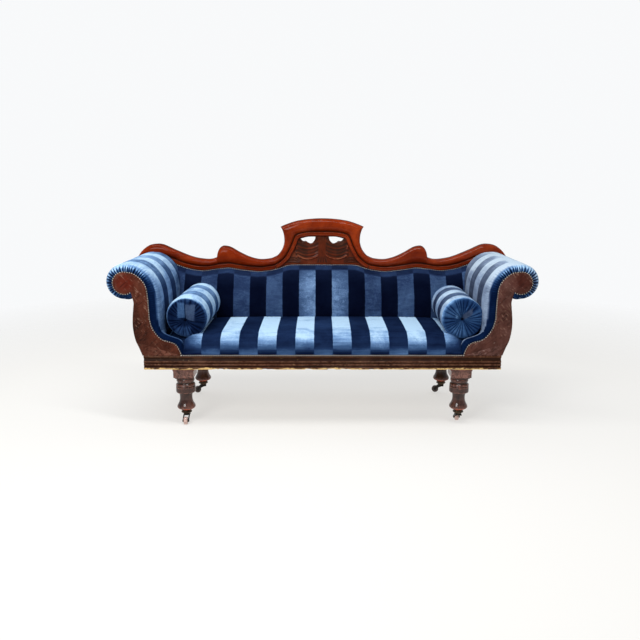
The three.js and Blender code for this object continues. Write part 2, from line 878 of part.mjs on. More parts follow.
// The pediment's frame: pairs of outer and inner points from the joint up the cove to the corner, and
// along the arch to the middle, in shares of the pediment's half width and of the crest's rise
const pedimentPairShares = [
  [1.137, 0.171, 1.137, 0],
  [1.064, 0.213, 1.017, 0.066],
  [0.966, 0.333, 0.893, 0.174],
  [0.918, 0.465, 0.82, 0.283],
  [0.914, 0.562, 0.755, 0.395],
  [0.927, 0.659, 0.708, 0.496],
  [0.961, 0.756, 0.67, 0.581],
  [1, 0.818, 0.631, 0.632],
  [0.888, 0.864, 0.579, 0.663],
  [0.648, 0.938, 0.459, 0.694],
  [0.408, 0.977, 0.292, 0.713],
  [0.172, 0.996, 0.129, 0.717],
  [0, 1, 0, 0.717],
];
const jointFace = pedimentJoint - gap;
const pedimentPairs = pedimentPairShares.map(([outerOut, outerUp, innerOut, innerUp]) => [
  [Math.min(outerOut * pedimentHalf, jointFace), trimLevel + outerUp * crestRise],
  [Math.min(innerOut * pedimentHalf, jointFace), trimLevel + innerUp * crestRise],
]);
const flipped = ([x, z]) => [-x, z];
const archPairs = [
  ...pedimentPairs,
  ...pedimentPairs.slice(0, -1).reverse().map(([outer, inner]) => [flipped(outer), flipped(inner)]),
];
const pediment = loft(archPairs.map(([outer, inner]) => crestLoop(outer, inner)), [1, 2]);
addPiece("crest_pediment", pediment, crestWood);

// The pierced panel fills the pediment's frame; each opening is a flat-topped eye over carved petals
const openingShares = [
  [0.519, 0.562],
  [0.46, 0.508],
  [0.39, 0.508],
  [0.34, 0.477],
  [0.266, 0.457],
  [0.206, 0.496],
  [0.172, 0.55],
  [0.163, 0.605],
  [0.34, 0.601],
];
function piercedPanel() {
  const inner = pedimentPairs.map(([, [x, z]]) => [x - (x < jointFace ? gap : 0), z - gap]);
  const half = [...inner, ...inner.slice(0, -1).reverse().map(flipped)];
  const under = panelBottom.map(([x, z]) => [Math.min(x, jointFace), z]);
  const outline = [...half, ...under.map(flipped), ...under.slice(0, -1).reverse()];
  const shape = new THREE.Shape(outline.map(([x, z]) => new THREE.Vector2(x, z)));
  for (const side of [-1, 1]) {
    const rim = openingShares.map(
      ([out, up]) => new THREE.Vector2(side * out * pedimentHalf, trimLevel + up * crestRise),
    );
    shape.holes.push(new THREE.Path(rim));
  }
  const panel = new THREE.ExtrudeGeometry(shape, { depth: panelThickness, bevelEnabled: false });
  const panelBack = (crestFront + crestBack + panelThickness) / 2;
  return welded(panel.rotateX(Math.PI / 2)).translate(0, panelBack, 0);
}
addPiece("pierced_panel", piercedPanel(), crestWood);

// End posts stand on the rear rail and end under the crest; a tack rail joins them low down, and the
// middle posts stand on it
const woodInnerX = railEnd + woodInner;
const postFoot = rearRailTop + gap;
const tackRailBottom = rearRailTop + tackRailLift;
const tackRailTop = tackRailBottom + tackRailHeight;

const undersideSteps = 6;
function undersideOver(fromX, toX) {
  const stepX = (toX - fromX) / undersideSteps;
  const places = Array.from({ length: undersideSteps + 1 }, (_, step) => fromX + step * stepX);
  return Math.min(...places.map(undersideAt));
}

// An upright that leans with the back, grown by a clearance where it is a cutting tool
function leaningBlock([fromX, toX], [base, top], clearance = 0) {
  const level = (z) => [
    [fromX, postFront(z) - clearance, z],
    [toX, postFront(z) - clearance, z],
    [toX, postFront(z) + postThickness + clearance, z],
    [fromX, postFront(z) + postThickness + clearance, z],
  ];
  return loft([level(base), level(top)], [0, 1]);
}

const endPostX = [woodInnerX - gap - postWidth, woodInnerX - gap];
const endPostTop = undersideOver(...endPostX) - gap;
addPair("back_post", leaningBlock(endPostX, [postFoot, endPostTop]), frameWood);

const tackRailEnd = endPostX[0] - gap;
const tackRail = leaningBlock([-tackRailEnd, tackRailEnd], [tackRailBottom, tackRailTop]);
addPiece("back_tack_rail", tackRail, frameWood);

const midPostX = [pedimentHalf, pedimentHalf + midPostWidth];
const midPostTop = undersideOver(...midPostX) - gap;
addPair("mid_post", leaningBlock(midPostX, [tackRailTop + gap, midPostTop]), frameWood);

// The arm's padding stops in front of the end post
const padInnerX = railEnd + padInner;
const postTool = leaningBlock(
  [padInnerX - overrun, woodInnerX + armPadding / 2],
  [railTop - overrun, endPostTop + gap],
  gap,
);
addPair("arm_upholstery", cut(armPad(), footTool, postTool), velvet);

// Seat: a stuffed top with a rounded front roll, crowned along its length; [share of the roll's depth
// or of the seat's depth from the front, share of the height]
const frontRollShares = [
  [0.05, 0],
  [0, 0.25],
  [0.025, 0.49],
  [0.125, 0.67],
  [0.3, 0.81],
  [0.575, 0.9],
  [1, 0.95],
];
const seatTopShares = [
  [0.3, 0.985],
  [0.55, 1],
  [1, 1],
];
const seatSideDropShare = 0.2;
const seatDropPower = 4;
const seatPlaceShares = [1, 0.985, 0.95, 0.86, 0.7, 0.45, 0.2];
const seatHalf = padInnerX - gap;
const seatFloor = railTop + gap;
const seatFrontY = frontFace + gap;
const seatBackY = postFront(rearRailTop) - gap;
const seatDepth = seatBackY - seatFrontY;
const symmetric = (shares) => [...shares.map((share) => -share), 0, ...[...shares].reverse()];
const seatFullness = (x) => 1 - seatSideDropShare * (Math.abs(x) / seatHalf) ** seatDropPower;
const seatCrown = symmetric(seatPlaceShares).map((share) => {
  const x = share * seatHalf;
  return [x, seatFloor + seatPadHeight * seatFullness(x)];
});
const seatTopAt = (x) => heightAt(seatCrown, x);

function seatPad() {
  const section = [
    ...frontRollShares.map(([back, up]) => [back * frontRollDepth, up]),
    ...seatTopShares.map(([back, up]) => [back * seatDepth, up]),
    [seatDepth, 0],
  ];
  const loops = seatCrown.map(([x, top]) => {
    const height = top - seatFloor;
    return section.map(([back, up]) => [x, seatFrontY + back, seatFloor + up * height]);
  });
  return loft(loops, [1, 2]);
}
addPiece("seat_upholstery", cut(seatPad(), footTool, mirrored(footTool)), velvet);

// Back padding: full at the small of the back, thinning to a rolled top edge under the crest, and
// shaped at its ends by the arms
const backProfileShares = [
  [0, 0.97],
  [0.15, 1],
  [0.37, 0.9],
  [0.55, 0.77],
  [0.78, 0.555],
  [0.89, 0.41],
  [0.96, 0.25],
  [1, 0.06],
  [1, 0],
  [0, 0],
];
// Places along the back where the crest's underside bends, out to an end on each side
function placesTo(end) {
  const half = crestUnderside.map(([x]) => x).filter((x) => x > 0 && x < end - gap);
  return [...half.map((x) => -x), 0, ...half.reverse()];
}

function backLoop(x) {
  const bottom = seatTopAt(x) + gap;
  const height = undersideAt(x) - gap - bottom;
  return backProfileShares.map(([up, depth]) => {
    const z = bottom + up * height;
    return [x, postFront(z) - gap - depth * lumbarDepth, z];
  });
}

function backPad() {
  const places = [-woodInnerX, ...placesTo(woodInnerX), woodInnerX];
  const face = offset(innerSkin, gap);
  const armOutline = placed([...face, [scrollReach, 0], [scrollReach, face[0][1]]]);
  const armTool = alongY(armOutline, frontFace, crestBack);
  return cut(loft(places.map(backLoop), [1, 2]), armTool, mirrored(armTool));
}
addPiece("back_upholstery", backPad(), velvet);

// The outside back is a cloth from the rear rail up to the crest, over the posts
function outsideBack() {
  const low = rearRailTop - coverLap;
  const near = frameBack + gap;
  const end = woodInnerX - gap;
  const loops = [-end, ...placesTo(end), end].map((x) => {
    const top = undersideAt(x) - gap;
    const lean = postFront(top) + postThickness + gap;
    return [
      [x, near, low],
      [x, near, rearRailTop],
      [x, lean, top],
      [x, lean + coverThickness, top],
      [x, near + coverThickness, rearRailTop],
      [x, near + coverThickness, low],
    ];
  });
  return loft(loops, [1, 2]);
}
addPiece("outside_back_cover", outsideBack(), lining);

// Bolsters: loose round cushions beside the arms, drawn in at the middle of their ends. Each is made for
// the right-hand end of the seat, and turned by so many degrees with its rear end away from the arm
const bolsterSides = 20;
const bolsterEndShares = [
  [0, 1],
  [0.2, 0.65],
  [0.68, 0],
  [0.93, 0.25],
  [1, 1.1],
];
function bolster(toArm, turn) {
  const half = bolsterLength / 2;
  const angle = THREE.MathUtils.degToRad(turn);
  const front = bolsterEndShares.map(([out, inset]) => [out * bolsterRadius, inset * bolsterDimple - half]);
  const rear = front.map(([radius, along]) => [radius, -along]).reverse();
  const points = [...front, ...rear].map(([radius, along]) => new THREE.Vector2(radius, along));
  const turned = new THREE.LatheGeometry(points, bolsterSides).rotateY(Math.PI / bolsterSides).rotateZ(angle);
  const x = padInnerX - toArm - bolsterRadius - half * Math.sin(angle);
  const rearEnd = postFront(seatTopAt(x)) - lumbarDepth - bolsterToBack;
  const flatHalf = bolsterRadius * Math.sin(Math.PI / bolsterSides);
  const rest = bolsterRadius * Math.cos(Math.PI / bolsterSides);
  const innermost = x - half * Math.sin(angle) - flatHalf;
  return turned.translate(x, rearEnd - half, seatTopAt(innermost) + gap + rest);
}
addPiece("left_bolster", mirrored(bolster(leftBolsterToArm, leftBolsterTurn)), velvet);
addPiece("right_bolster", bolster(rightBolsterToArm, 0), velvet);

export default settee;
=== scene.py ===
import math

import bmesh
import bpy
import numpy as np
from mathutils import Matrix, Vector, geometry, noise


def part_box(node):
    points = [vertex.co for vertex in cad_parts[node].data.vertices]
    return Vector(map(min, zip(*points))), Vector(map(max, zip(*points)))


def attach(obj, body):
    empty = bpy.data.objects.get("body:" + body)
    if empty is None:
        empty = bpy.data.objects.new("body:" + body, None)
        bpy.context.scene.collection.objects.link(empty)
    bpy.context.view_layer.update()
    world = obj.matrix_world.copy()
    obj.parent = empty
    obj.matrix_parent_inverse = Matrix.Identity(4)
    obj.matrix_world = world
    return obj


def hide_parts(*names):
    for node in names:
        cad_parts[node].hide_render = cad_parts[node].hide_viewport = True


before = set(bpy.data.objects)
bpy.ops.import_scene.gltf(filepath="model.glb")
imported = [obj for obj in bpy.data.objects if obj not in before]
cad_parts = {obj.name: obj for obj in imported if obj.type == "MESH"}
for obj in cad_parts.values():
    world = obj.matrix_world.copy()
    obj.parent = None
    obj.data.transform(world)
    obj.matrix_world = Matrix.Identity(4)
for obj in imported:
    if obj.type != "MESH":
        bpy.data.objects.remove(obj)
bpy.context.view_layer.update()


# The front seat rail
# A mahogany rail between the two arm facings, worked along its face with beads and hollows. Its lower
# edge has lost its polish and is chipped down to the pale wood.
RAIL_END = 872
RAIL_FOOT = 289.9
CHIP_HEIGHT = 7
RAIL_PROFILE = [
    (-326, RAIL_FOOT), (-329, 291.5), (-330, 294.5), (-329.8, 299), (-328, 302.3), (-325, 304),
    (-323.6, 305.8), (-325.6, 307.8), (-328.8, 310), (-330, 314), (-328.8, 318), (-325.6, 320.2),
    (-323.6, 321.8), (-325.6, 323.6), (-328.6, 326), (-329.6, 329.4), (-328.4, 332.6), (-325.2, 334.2),
    (-322.8, 337), (-321.8, 341), (-322.4, 345), (-324.6, 348.6), (-327.6, 350.2), (-329.6, 352.6),
    (-330, 355.6), (-328.8, 358.8), (-325.6, 360.5), (-321, 360.8), (-310, 360.8), (-298, 360.8),
    (-298, 325), (-298, RAIL_FOOT), (-312, RAIL_FOOT),
]


def skin(rows, around=False, ends=False):
    """Points and faces over rows of points with equal counts; around closes each row on itself"""
    count = len(rows[0])
    faces = []
    for row in range(len(rows) - 1):
        for column in range(count if around else count - 1):
            after = (column + 1) % count
            faces.append([row * count + column, row * count + after,
                          (row + 1) * count + after, (row + 1) * count + column])
    if ends:
        faces.append(list(range(count))[::-1])
        faces.append(list(range((len(rows) - 1) * count, len(rows) * count)))
    return [point for row in rows for point in row], faces


def new_mesh(name, parts, sharp=35):
    """One mesh from parts in millimetres, with its faces outwards and its hard edges kept"""
    points, faces = [], []
    for part_points, part_faces in parts:
        start = len(points)
        points += [tuple(value * 0.001 for value in point) for point in part_points]
        faces += [[start + corner for corner in face] for face in part_faces]
    mesh = bpy.data.meshes.new(name)
    mesh.from_pydata(points, [], faces)
    work = bmesh.new()
    work.from_mesh(mesh)
    bmesh.ops.recalc_face_normals(work, faces=work.faces)
    work.to_mesh(mesh)
    work.free()
    mesh.shade_smooth()
    mesh.set_sharp_from_angle(angle=math.radians(sharp))
    return mesh


def swept(name, rows, sharp, handed=lambda part: part):
    """A closed solid along rows of points, mirrored where the hand asks for it"""
    return new_mesh(name, [handed(skin(rows, around=True, ends=True))], sharp)


def numbers(collection, name, width=3, kind=float):
    found = np.zeros(len(collection) * width, kind)
    collection.foreach_get(name, found)
    return found.reshape(-1, width)


def paint(mesh, name, values):
    attribute = mesh.attributes.get(name) or mesh.attributes.new(name, "FLOAT", "POINT")
    attribute.data.foreach_set("value", np.asarray(values, np.float32))


def paint_edges(mesh, reach=4):
    """An attribute that is above a half on corners that hands rub and below it in corners that hold dirt"""
    places, normals = (numbers(mesh.vertices, name) for name in ("co", "normal"))
    first, second = numbers(mesh.edges, "vertices", 2, int).T
    way = places[second] - places[first]
    way /= np.linalg.norm(way, axis=1)[:, None] + 1e-9
    bend = np.zeros(len(places))
    met = np.zeros(len(places))
    for end, sign in ((first, -1), (second, 1)):
        np.add.at(bend, end, sign * (normals[end] * way).sum(1))
        np.add.at(met, end, 1)
    paint(mesh, "edge", np.clip(0.5 + reach * 0.5 * bend / np.maximum(met, 1), 0, 1))


def placed_object(name, data):
    made = bpy.data.objects.new(name, data)
    bpy.context.scene.collection.objects.link(made)
    return made


def show(mesh, material, body="settee", stands_for=()):
    piece = placed_object(mesh.name, mesh)
    mesh.materials.append(material)
    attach(piece, body)
    if stands_for:
        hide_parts(*stands_for)
    return piece


def plug(tree, made, inputs):
    """Sets a node's inputs, by name or number, to values or to other nodes' sockets"""
    for name, value in inputs.items():
        if isinstance(value, bpy.types.NodeSocket):
            tree.links.new(value, made.inputs[name])
        else:
            made.inputs[name].default_value = value


def node(tree, kind, inputs=None, **settings):
    made = tree.nodes.new(kind)
    for name, value in settings.items():
        setattr(made, name, value)
    plug(tree, made, inputs or {})
    return made


def maths(tree, operation, *values):
    return node(tree, "ShaderNodeMath", dict(enumerate(values)), operation=operation).outputs[0]


def ranged(tree, value, low, high, to_low=0.0, to_high=1.0):
    return node(tree, "ShaderNodeMapRange", {0: value, 1: low, 2: high, 3: to_low, 4: to_high}).outputs[0]


def blended(tree, share, first, second):
    return node(tree, "ShaderNodeMix", {0: share, 6: first, 7: second}, data_type="RGBA").outputs[2]


def stretched(tree, vector, factors):
    return node(tree, "ShaderNodeVectorMath", {0: vector, 1: factors}, operation="MULTIPLY").outputs[0]


def clouds(tree, vector, scale, detail=3.0, roughness=0.55, distortion=0.0):
    return node(tree, "ShaderNodeTexNoise", {"Vector": vector, "Scale": scale, "Detail": detail,
                                             "Roughness": roughness, "Distortion": distortion}).outputs["Fac"]


def bumped(tree, height, strength, distance):
    return node(tree, "ShaderNodeBump", {"Height": height, "Strength": strength,
                                         "Distance": distance}).outputs[0]


def attribute(tree, name):
    return node(tree, "ShaderNodeAttribute", attribute_name=name).outputs["Fac"]


def new_material(name):
    """A new material, its tree, its shader, and the object coordinates that its patterns lie on"""
    material = bpy.data.materials.new(name)
    material.use_nodes = True
    tree = material.node_tree
    return material, tree, tree.nodes["Principled BSDF"], node(tree, "ShaderNodeTexCoord").outputs["Object"]


def new_group(name, takes, gives):
    group = bpy.data.node_groups.new(name, "ShaderNodeTree")
    for direction, sockets in (("INPUT", takes), ("OUTPUT", gives)):
        for socket_name, kind in sockets:
            group.interface.new_socket(socket_name, in_out=direction, socket_type=f"NodeSocket{kind}")
    return group, group.nodes.new("NodeGroupInput").outputs, group.nodes.new("NodeGroupOutput")


def polished_wood():
    """Grain, patina, dirt in the hollows and rubbed edges, for all the show wood. Where the crest, pediment
    and panel set their edge values, the darkening in the hollows is also painted shade and the lightening
    on the edges a painted highlight
    """
    group, given, made = new_group(
        "Polished wood",
        [("Vector", "Vector"), ("Grain way", "Vector"), ("Dark", "Color"), ("Middle", "Color"),
         ("Light", "Color"), ("Bare", "Color"), ("Edge", "Float"), ("Wear", "Float"), ("Chips", "Float")],
        [("Color", "Color"), ("Roughness", "Float"), ("Height", "Float")])
    grain = stretched(group, given["Vector"], given["Grain way"])
    figure = clouds(group, grain, 3.2, 5.0, 0.6, 0.8)
    fibres = clouds(group, grain, 34.0, 4.0, 0.7)
    patina = clouds(group, given["Vector"], 7.0, 4.0, 0.6)
    scuffs = clouds(group, given["Vector"], 55.0, 5.0, 0.65, 1.4)
    color = blended(group, ranged(group, figure, 0.32, 0.68), given["Dark"], given["Middle"])
    color = blended(group, ranged(group, fibres, 0.5, 0.8, 0.0, 0.45), color, given["Dark"])
    color = blended(group, ranged(group, patina, 0.5, 0.75, 0.0, 0.55), color, given["Light"])
    # Dark in the hollows: dirt, and painted shade where the crest, pediment and panel set a low edge value
    hollow = ranged(group, given["Edge"], 0.47, 0.25, 0.0, 0.75)
    color = blended(group, hollow, color, (0.018, 0.011, 0.007, 1))
    # Light on the edges: rubbed wear, and a painted highlight where the crest, pediment and panel set a high
    # edge value
    rubbed_and_highlit = maths(group, "MULTIPLY", ranged(group, given["Edge"], 0.53, 0.8),
                   ranged(group, scuffs, 0.38, 0.62))
    rubbed_and_highlit = maths(group, "MULTIPLY", rubbed_and_highlit, given["Wear"])
    color = blended(group, rubbed_and_highlit, color, given["Light"])
    specks = node(group, "ShaderNodeTexVoronoi", {"Vector": given["Vector"], "Scale": 85.0})
    specks = specks.outputs["Distance"]
    chipped = maths(group, "MULTIPLY", ranged(group, specks, 0.16, 0.1),
                    ranged(group, scuffs, 0.53, 0.6))
    chipped = maths(group, "MULTIPLY", chipped, given["Chips"])
    color = blended(group, chipped, color, given["Bare"])
    rough = maths(group, "MULTIPLY_ADD", rubbed_and_highlit, 0.2, ranged(group, patina, 0.3, 0.7, 0.0, 0.16))
    height = maths(group, "MULTIPLY_ADD", fibres, 0.5, maths(group, "MULTIPLY", chipped, -0.6))
    plug(group, made, {"Color": color, "Roughness": rough, "Height": height})
    return group


WOOD = polished_wood()


# The colour of the painted floor light under the legs' bulbs
FLOOR_LIGHT_RED = (0.43, 0.085, 0.034, 1)
EYE_RED = (0.14, 0.01, 0.004, 1)
SCRATCHES = (((14, 1, 260), 1.1, (0.52, 0.62, 0.0, 0.85), (19.0, 3.0), (0.012, 0.006, 0.005, 1)),
             ((230, 1, 40), 0.0, (0.58, 0.7, 0.0, 0.55), (17.0, 2.0), (0.42, 0.24, 0.17, 1)))


def wood_material(name, grain_way, dark, middle, light, bare, wear, chips, gloss, coat, low_edge=None,
                  floor_light_between=None, eye=None):
    """Polished wood in metres. low_edge is the height of an edge worn to bare wood, the next argument the
    heights of a band painted a lighter red as light from the floor under a bulb, and eye a scroll's place
    and redness on a board that is scratched"""
    material, tree, shader, place = new_material(name)
    wood = node(tree, "ShaderNodeGroup", node_tree=WOOD)
    plug(tree, wood, {"Vector": place, "Grain way": grain_way, "Dark": (*dark, 1), "Middle": (*middle, 1),
                      "Light": (*light, 1), "Bare": (*bare, 1), "Edge": attribute(tree, "edge"), "Wear": wear,
                      "Chips": chips})
    color = wood.outputs["Color"]
    across, _, height = node(tree, "ShaderNodeSeparateXYZ", {0: place}).outputs
    if low_edge:
        ragged = ranged(tree, clouds(tree, place, 42.0, 5.0, 0.7), 0.3, 0.7, -0.006, 0.007)
        ragged = maths(tree, "ADD", height, ragged)
        color = blended(tree, ranged(tree, ragged, low_edge + 0.0012, low_edge), color, (*bare, 1))
    # A band between two heights painted a lighter red: painted light from the floor under the bulb
    if floor_light_between:
        low, high = floor_light_between
        wavy = maths(tree, "ADD", height, ranged(tree, clouds(tree, place, 60.0), 0.3, 0.7, -0.004, 0.004))
        share = maths(tree, "MULTIPLY", ranged(tree, wavy, high, high - 0.004),
                      ranged(tree, wavy, low - 0.002, low))
        color = blended(tree, maths(tree, "MULTIPLY", share, 0.8), color, FLOOR_LIGHT_RED)
    if eye:
        beside_eye = maths(tree, "SUBTRACT", maths(tree, "ABSOLUTE", across), eye[0])
        above_eye = maths(tree, "SUBTRACT", height, eye[1])
        from_eye = maths(tree, "SQRT", maths(tree, "ADD", maths(tree, "POWER", beside_eye, 2.0),
                                             maths(tree, "POWER", above_eye, 2.0)))
        color = blended(tree, ranged(tree, from_eye, 0.062, 0.03, 0.0, eye[2]), color, EYE_RED)
        slanted = node(tree, "ShaderNodeVectorRotate", {"Vector": place, "Axis": (0, 1, 0), "Angle": 0.7})
        for factors, bent, drawn, patches, mark in SCRATCHES:
            lines = clouds(tree, stretched(tree, slanted.outputs[0], factors), 1.0, 3.0, 0.6, bent)
            share = maths(tree, "MULTIPLY", ranged(tree, lines, *drawn),
                          ranged(tree, clouds(tree, place, *patches), 0.44, 0.56))
            color = blended(tree, share, color, mark)
    rough = maths(tree, "ADD", wood.outputs["Roughness"], gloss)
    plug(tree, shader, {"Base Color": color, "Roughness": rough,
                        "Normal": bumped(tree, wood.outputs["Height"], 0.22, 0.0006), "Coat Weight": coat,
                        "Coat Roughness": 0.08, "Specular IOR Level": 0.0})
    return material


DARK_GRAIN = dict(dark=(0.018, 0.006, 0.003), middle=(0.055, 0.018, 0.009), light=(0.17, 0.075, 0.042),
                  bare=(0.72, 0.48, 0.19))
RAIL_WOOD = wood_material("Worn mahogany rail", (0.9, 9, 9), **DARK_GRAIN, wear=0.9, chips=0.6, gloss=0.3,
                          coat=0.12, low_edge=0.2952)


def chip(x, depth):
    """How far the ragged lower edge is eaten away at a place along the rail"""
    rough = noise.noise((x * 0.021, 3.1, depth)) + 0.6 * noise.noise((x * 0.09, 7.7, depth))
    return max(0.0, rough - 0.12) * 7


def front_rail():
    rows = []
    for x in np.linspace(-RAIL_END, RAIL_END, 330):
        row = []
        for y, z in RAIL_PROFILE:
            eaten = chip(x, 0.5) * max(0.0, 1 - (z - RAIL_FOOT) / CHIP_HEIGHT) if y < -320 else 0
            row.append((x, y + eaten * 0.6, z + eaten))
        rows.append(row)
    mesh = swept("front_rail_moulding", rows, 50)
    paint_edges(mesh, 3)
    return show(mesh, RAIL_WOOD, stands_for=["front_seat_rail"])


front_rail()


# The rest of the seat frame
# Plain rails at the back and the ends, polished dark where they show, and sawn hardwood bearers, a
# cross rail and glued corner blocks inside. Their planed edges are eased.
PLAIN_FINISH = dict(DARK_GRAIN, wear=0.6, chips=0.3, gloss=0.36, coat=0.1)
SAWN_FINISH = dict(dark=(0.2, 0.12, 0.06), middle=(0.38, 0.26, 0.14), light=(0.5, 0.36, 0.2),
                   bare=(0.6, 0.45, 0.27), wear=0.2, chips=0, gloss=0.6, coat=0)
PLAIN_WOOD = wood_material("Plain mahogany", (0.9, 9, 9), **PLAIN_FINISH)
END_WOOD = wood_material("Plain mahogany end", (9, 0.9, 9), **PLAIN_FINISH)
FRAME_WOOD = wood_material("Sawn hardwood", (9, 0.9, 9), **SAWN_FINISH)
POST_WOOD = wood_material("Sawn hardwood upright", (9, 9, 0.9), **SAWN_FINISH)


def dress(material, *names):
    for name in names:
        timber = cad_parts[name]
        timber.data.materials.clear()
        timber.data.materials.append(material)


dress(PLAIN_WOOD, "back_seat_rail")
dress(FRAME_WOOD, "seat_cross_rail")
dress(POST_WOOD, "back_tack_rail")
for side in ("left", "right"):
    dress(END_WOOD, f"{side}_end_rail")
    dress(FRAME_WOOD, f"{side}_leg_bearer", f"{side}_front_corner_block", f"{side}_rear_corner_block",
          f"{side}_arm_top_rail")
    dress(POST_WOOD, f"{side}_back_post", f"{side}_mid_post")


# Webbing under the seat
# Jute strips, woven over and under each other and nailed to the rails' undersides.
WEB_X = (-802, -401.1, -200.6, 0, 200.6, 401.1, 802)
WEB_ROWS = (-140.4, -3.6, 121.2)
WEB_Y_ENDS = (-319, 274)
WEB_X_ENDS = (-861, 861)
WEB_MIDDLE = 288
WEB_LIFT = 0.6
WEB_BEND = 70
WEB_SECTION = [(-25, -0.5), (-25, 0.5), (-9, 0.5), (9, 0.5), (25, 0.5), (25, -0.5), (9, -0.5), (-9, -0.5)]


def plain_material(name, color, roughness, tone_scale=30, tone=0.25, bump=0.3, bump_scale=400, metallic=0.0,
                   sheen=0.0):
    """A material of one stuff with clouded tone and a fine tooth"""
    material, tree, shader, place = new_material(name)
    cloud = clouds(tree, place, tone_scale, 5.0, 0.6)
    shade = tuple(part * (1 - tone * 1.6) for part in color)
    tint = tuple(min(1, part * (1 + tone)) for part in color)
    plug(tree, shader, {"Base Color": blended(tree, ranged(tree, cloud, 0.3, 0.7), (*shade, 1), (*tint, 1)),
                        "Roughness": ranged(tree, cloud, 0.3, 0.7, roughness - 0.08, roughness + 0.08),
                        "Normal": bumped(tree, clouds(tree, place, bump_scale, 2.0, 0.6), bump, 0.0008),
                        "Metallic": metallic, "Sheen Weight": sheen})
    return material


JUTE = plain_material("Jute webbing", (0.4, 0.29, 0.15), 0.85, 12, 0.2, 0.8, 900)


def web_strip(centre, ends, crossings, along_x, first):
    """One strip that passes over and under the strips that it crosses"""
    rows = []
    for along in np.linspace(*ends, 90):
        lift = 0.0
        for i, crossing in enumerate(crossings):
            near = max(0.0, 1 - abs(along - crossing) / WEB_BEND)
            lift += (1 if (i + first) % 2 else -1) * near * near * (3 - 2 * near) * WEB_LIFT
        row = [(centre + across, WEB_MIDDLE + lift + thick) for across, thick in WEB_SECTION]
        rows.append([(along, across, z) if along_x else (across, along, z) for across, z in row])
    return skin(rows, around=True, ends=True)


web_parts = [web_strip(x, WEB_Y_ENDS, WEB_ROWS, False, i) for i, x in enumerate(WEB_X)]
web_parts += [web_strip(y, WEB_X_ENDS, WEB_X, True, i + 1) for i, y in enumerate(WEB_ROWS)]
show(new_mesh("jute_webbing", web_parts), JUTE, stands_for=["seat_webbing"])


# Seat springs
# Two rows of waisted coils of drawn steel wire, sewn to the webbing and lashed together with twine
# across their tops.
SPRING_ROWS = {"front_spring_row": -145.5, "rear_spring_row": 125.1}
SPRING_X = (-444.7, -148.2, 148.2, 444.7)
SPRING_LOW, SPRING_HIGH = 292.2, 356.6
COIL_TURNS, COIL_STEPS = 3, 72
COIL_WAIST, COIL_FLARE = 28, 12
WIRE_RADIUS, TWINE_RADIUS = 2.1, 1.3
TWINE_HALF, TWINE_HEIGHT = 489, 358.6
SPRING_STEEL = plain_material("Spring steel", (0.17, 0.14, 0.11), 0.42, 40, 0.4, 0.2, 500, metallic=0.8)


def tube(points, radius, sides=8):
    """A round tube along a line of points"""
    rows = []
    line = [Vector(point) for point in points]
    for i, point in enumerate(line):
        way = (line[min(i + 1, len(line) - 1)] - line[max(i - 1, 0)]).normalized()
        side_way = way.cross(Vector((0, 0, 1)))
        side_way = side_way.normalized() if side_way.length > 1e-3 else Vector((1, 0, 0))
        up_way = side_way.cross(way)
        rows.append([tuple(point + radius * (side_way * math.cos(turn) + up_way * math.sin(turn)))
                     for turn in np.linspace(0, math.tau, sides, endpoint=False)])
    return skin(rows, around=True, ends=True)


def coil(x, y):
    points = []
    for step in range(COIL_STEPS + 1):
        share = step / COIL_STEPS
        turn = math.tau * COIL_TURNS * share
        radius = COIL_WAIST + COIL_FLARE * (2 * share - 1) ** 2
        points.append((x + radius * math.cos(turn), y + radius * math.sin(turn),
                       SPRING_LOW + share * (SPRING_HIGH - SPRING_LOW)))
    return tube(points, WIRE_RADIUS)


for row_name, row_y in SPRING_ROWS.items():
    parts = [coil(x, row_y) for x in SPRING_X]
    twine = [(x, row_y, TWINE_HEIGHT - 0.8 * math.sin(x / 47) ** 2)
             for x in np.linspace(-TWINE_HALF, TWINE_HALF, 80)]
    parts.append(tube(twine, TWINE_RADIUS, 6))
    show(new_mesh(f"{row_name}_coils", parts), SPRING_STEEL, stands_for=[row_name])


# The legs
# Turned mahogany with a square block above: a moulded band, a hollowed lower edge, a ring, a drum with
# a sunk line, a waisted neck, a bulb whose underside is painted a lighter red as light from the floor,
# and the tip that the caster's cup grips.
LEG_PLACES = {"front_left": (-683, -270), "front_right": (683, -270), "rear_left": (-683, 235),
              "rear_right": (683, 235)}
LEG_PROFILE = [
    (17.2, 50.6), (17.8, 52), (17.8, 66), (18.6, 68), (22, 69.8), (27, 71.4), (34, 74),
    (41, 78), (44.6, 82.4), (45.4, 86.5), (44.6, 91.5), (41.8, 97.5), (38, 103.5), (34.8, 110.5), (32.6, 118),
    (31, 127), (30.7, 138), (31.4, 146), (33.2, 153), (36, 158.4), (38, 160), (44.6, 160.8), (47, 162.6),
    (48, 166), (48.2, 171), (48.2, 186), (47.8, 190.4), (45.6, 191.6), (45, 193), (45.8, 194.6),
    (47.6, 196), (47.9, 200), (46.6, 204.4), (43, 208), (40.4, 209.8), (39.4, 212.4), (39.8, 215),
    (42, 216.4), (43.8, 218.6), (44.6, 222), (44.4, 228), (43.4, 231.4), (41.6, 233), (41.6, 246),
]
LEG_BLOCK = [
    (42.5, 238.4), (43.2, 241.6), (45.6, 243.6), (49, 244.6), (50, 246), (50, 277.6), (50.4, 279),
    (51.8, 280), (52.5, 282), (52.5, 287.6), (51.6, 289.4),
]
LEG_PEG = [(15, 289), (15, 317.5)]
LEG_WOOD = wood_material("Turned mahogany", (5, 5, 1.2), dark=(0.014, 0.006, 0.004),
                         middle=(0.06, 0.024, 0.018), light=(0.26, 0.11, 0.08), bare=(0.42, 0.16, 0.07),
                         wear=1.0, chips=0.3, gloss=0.14, coat=0.75, floor_light_between=(0.068, 0.084))


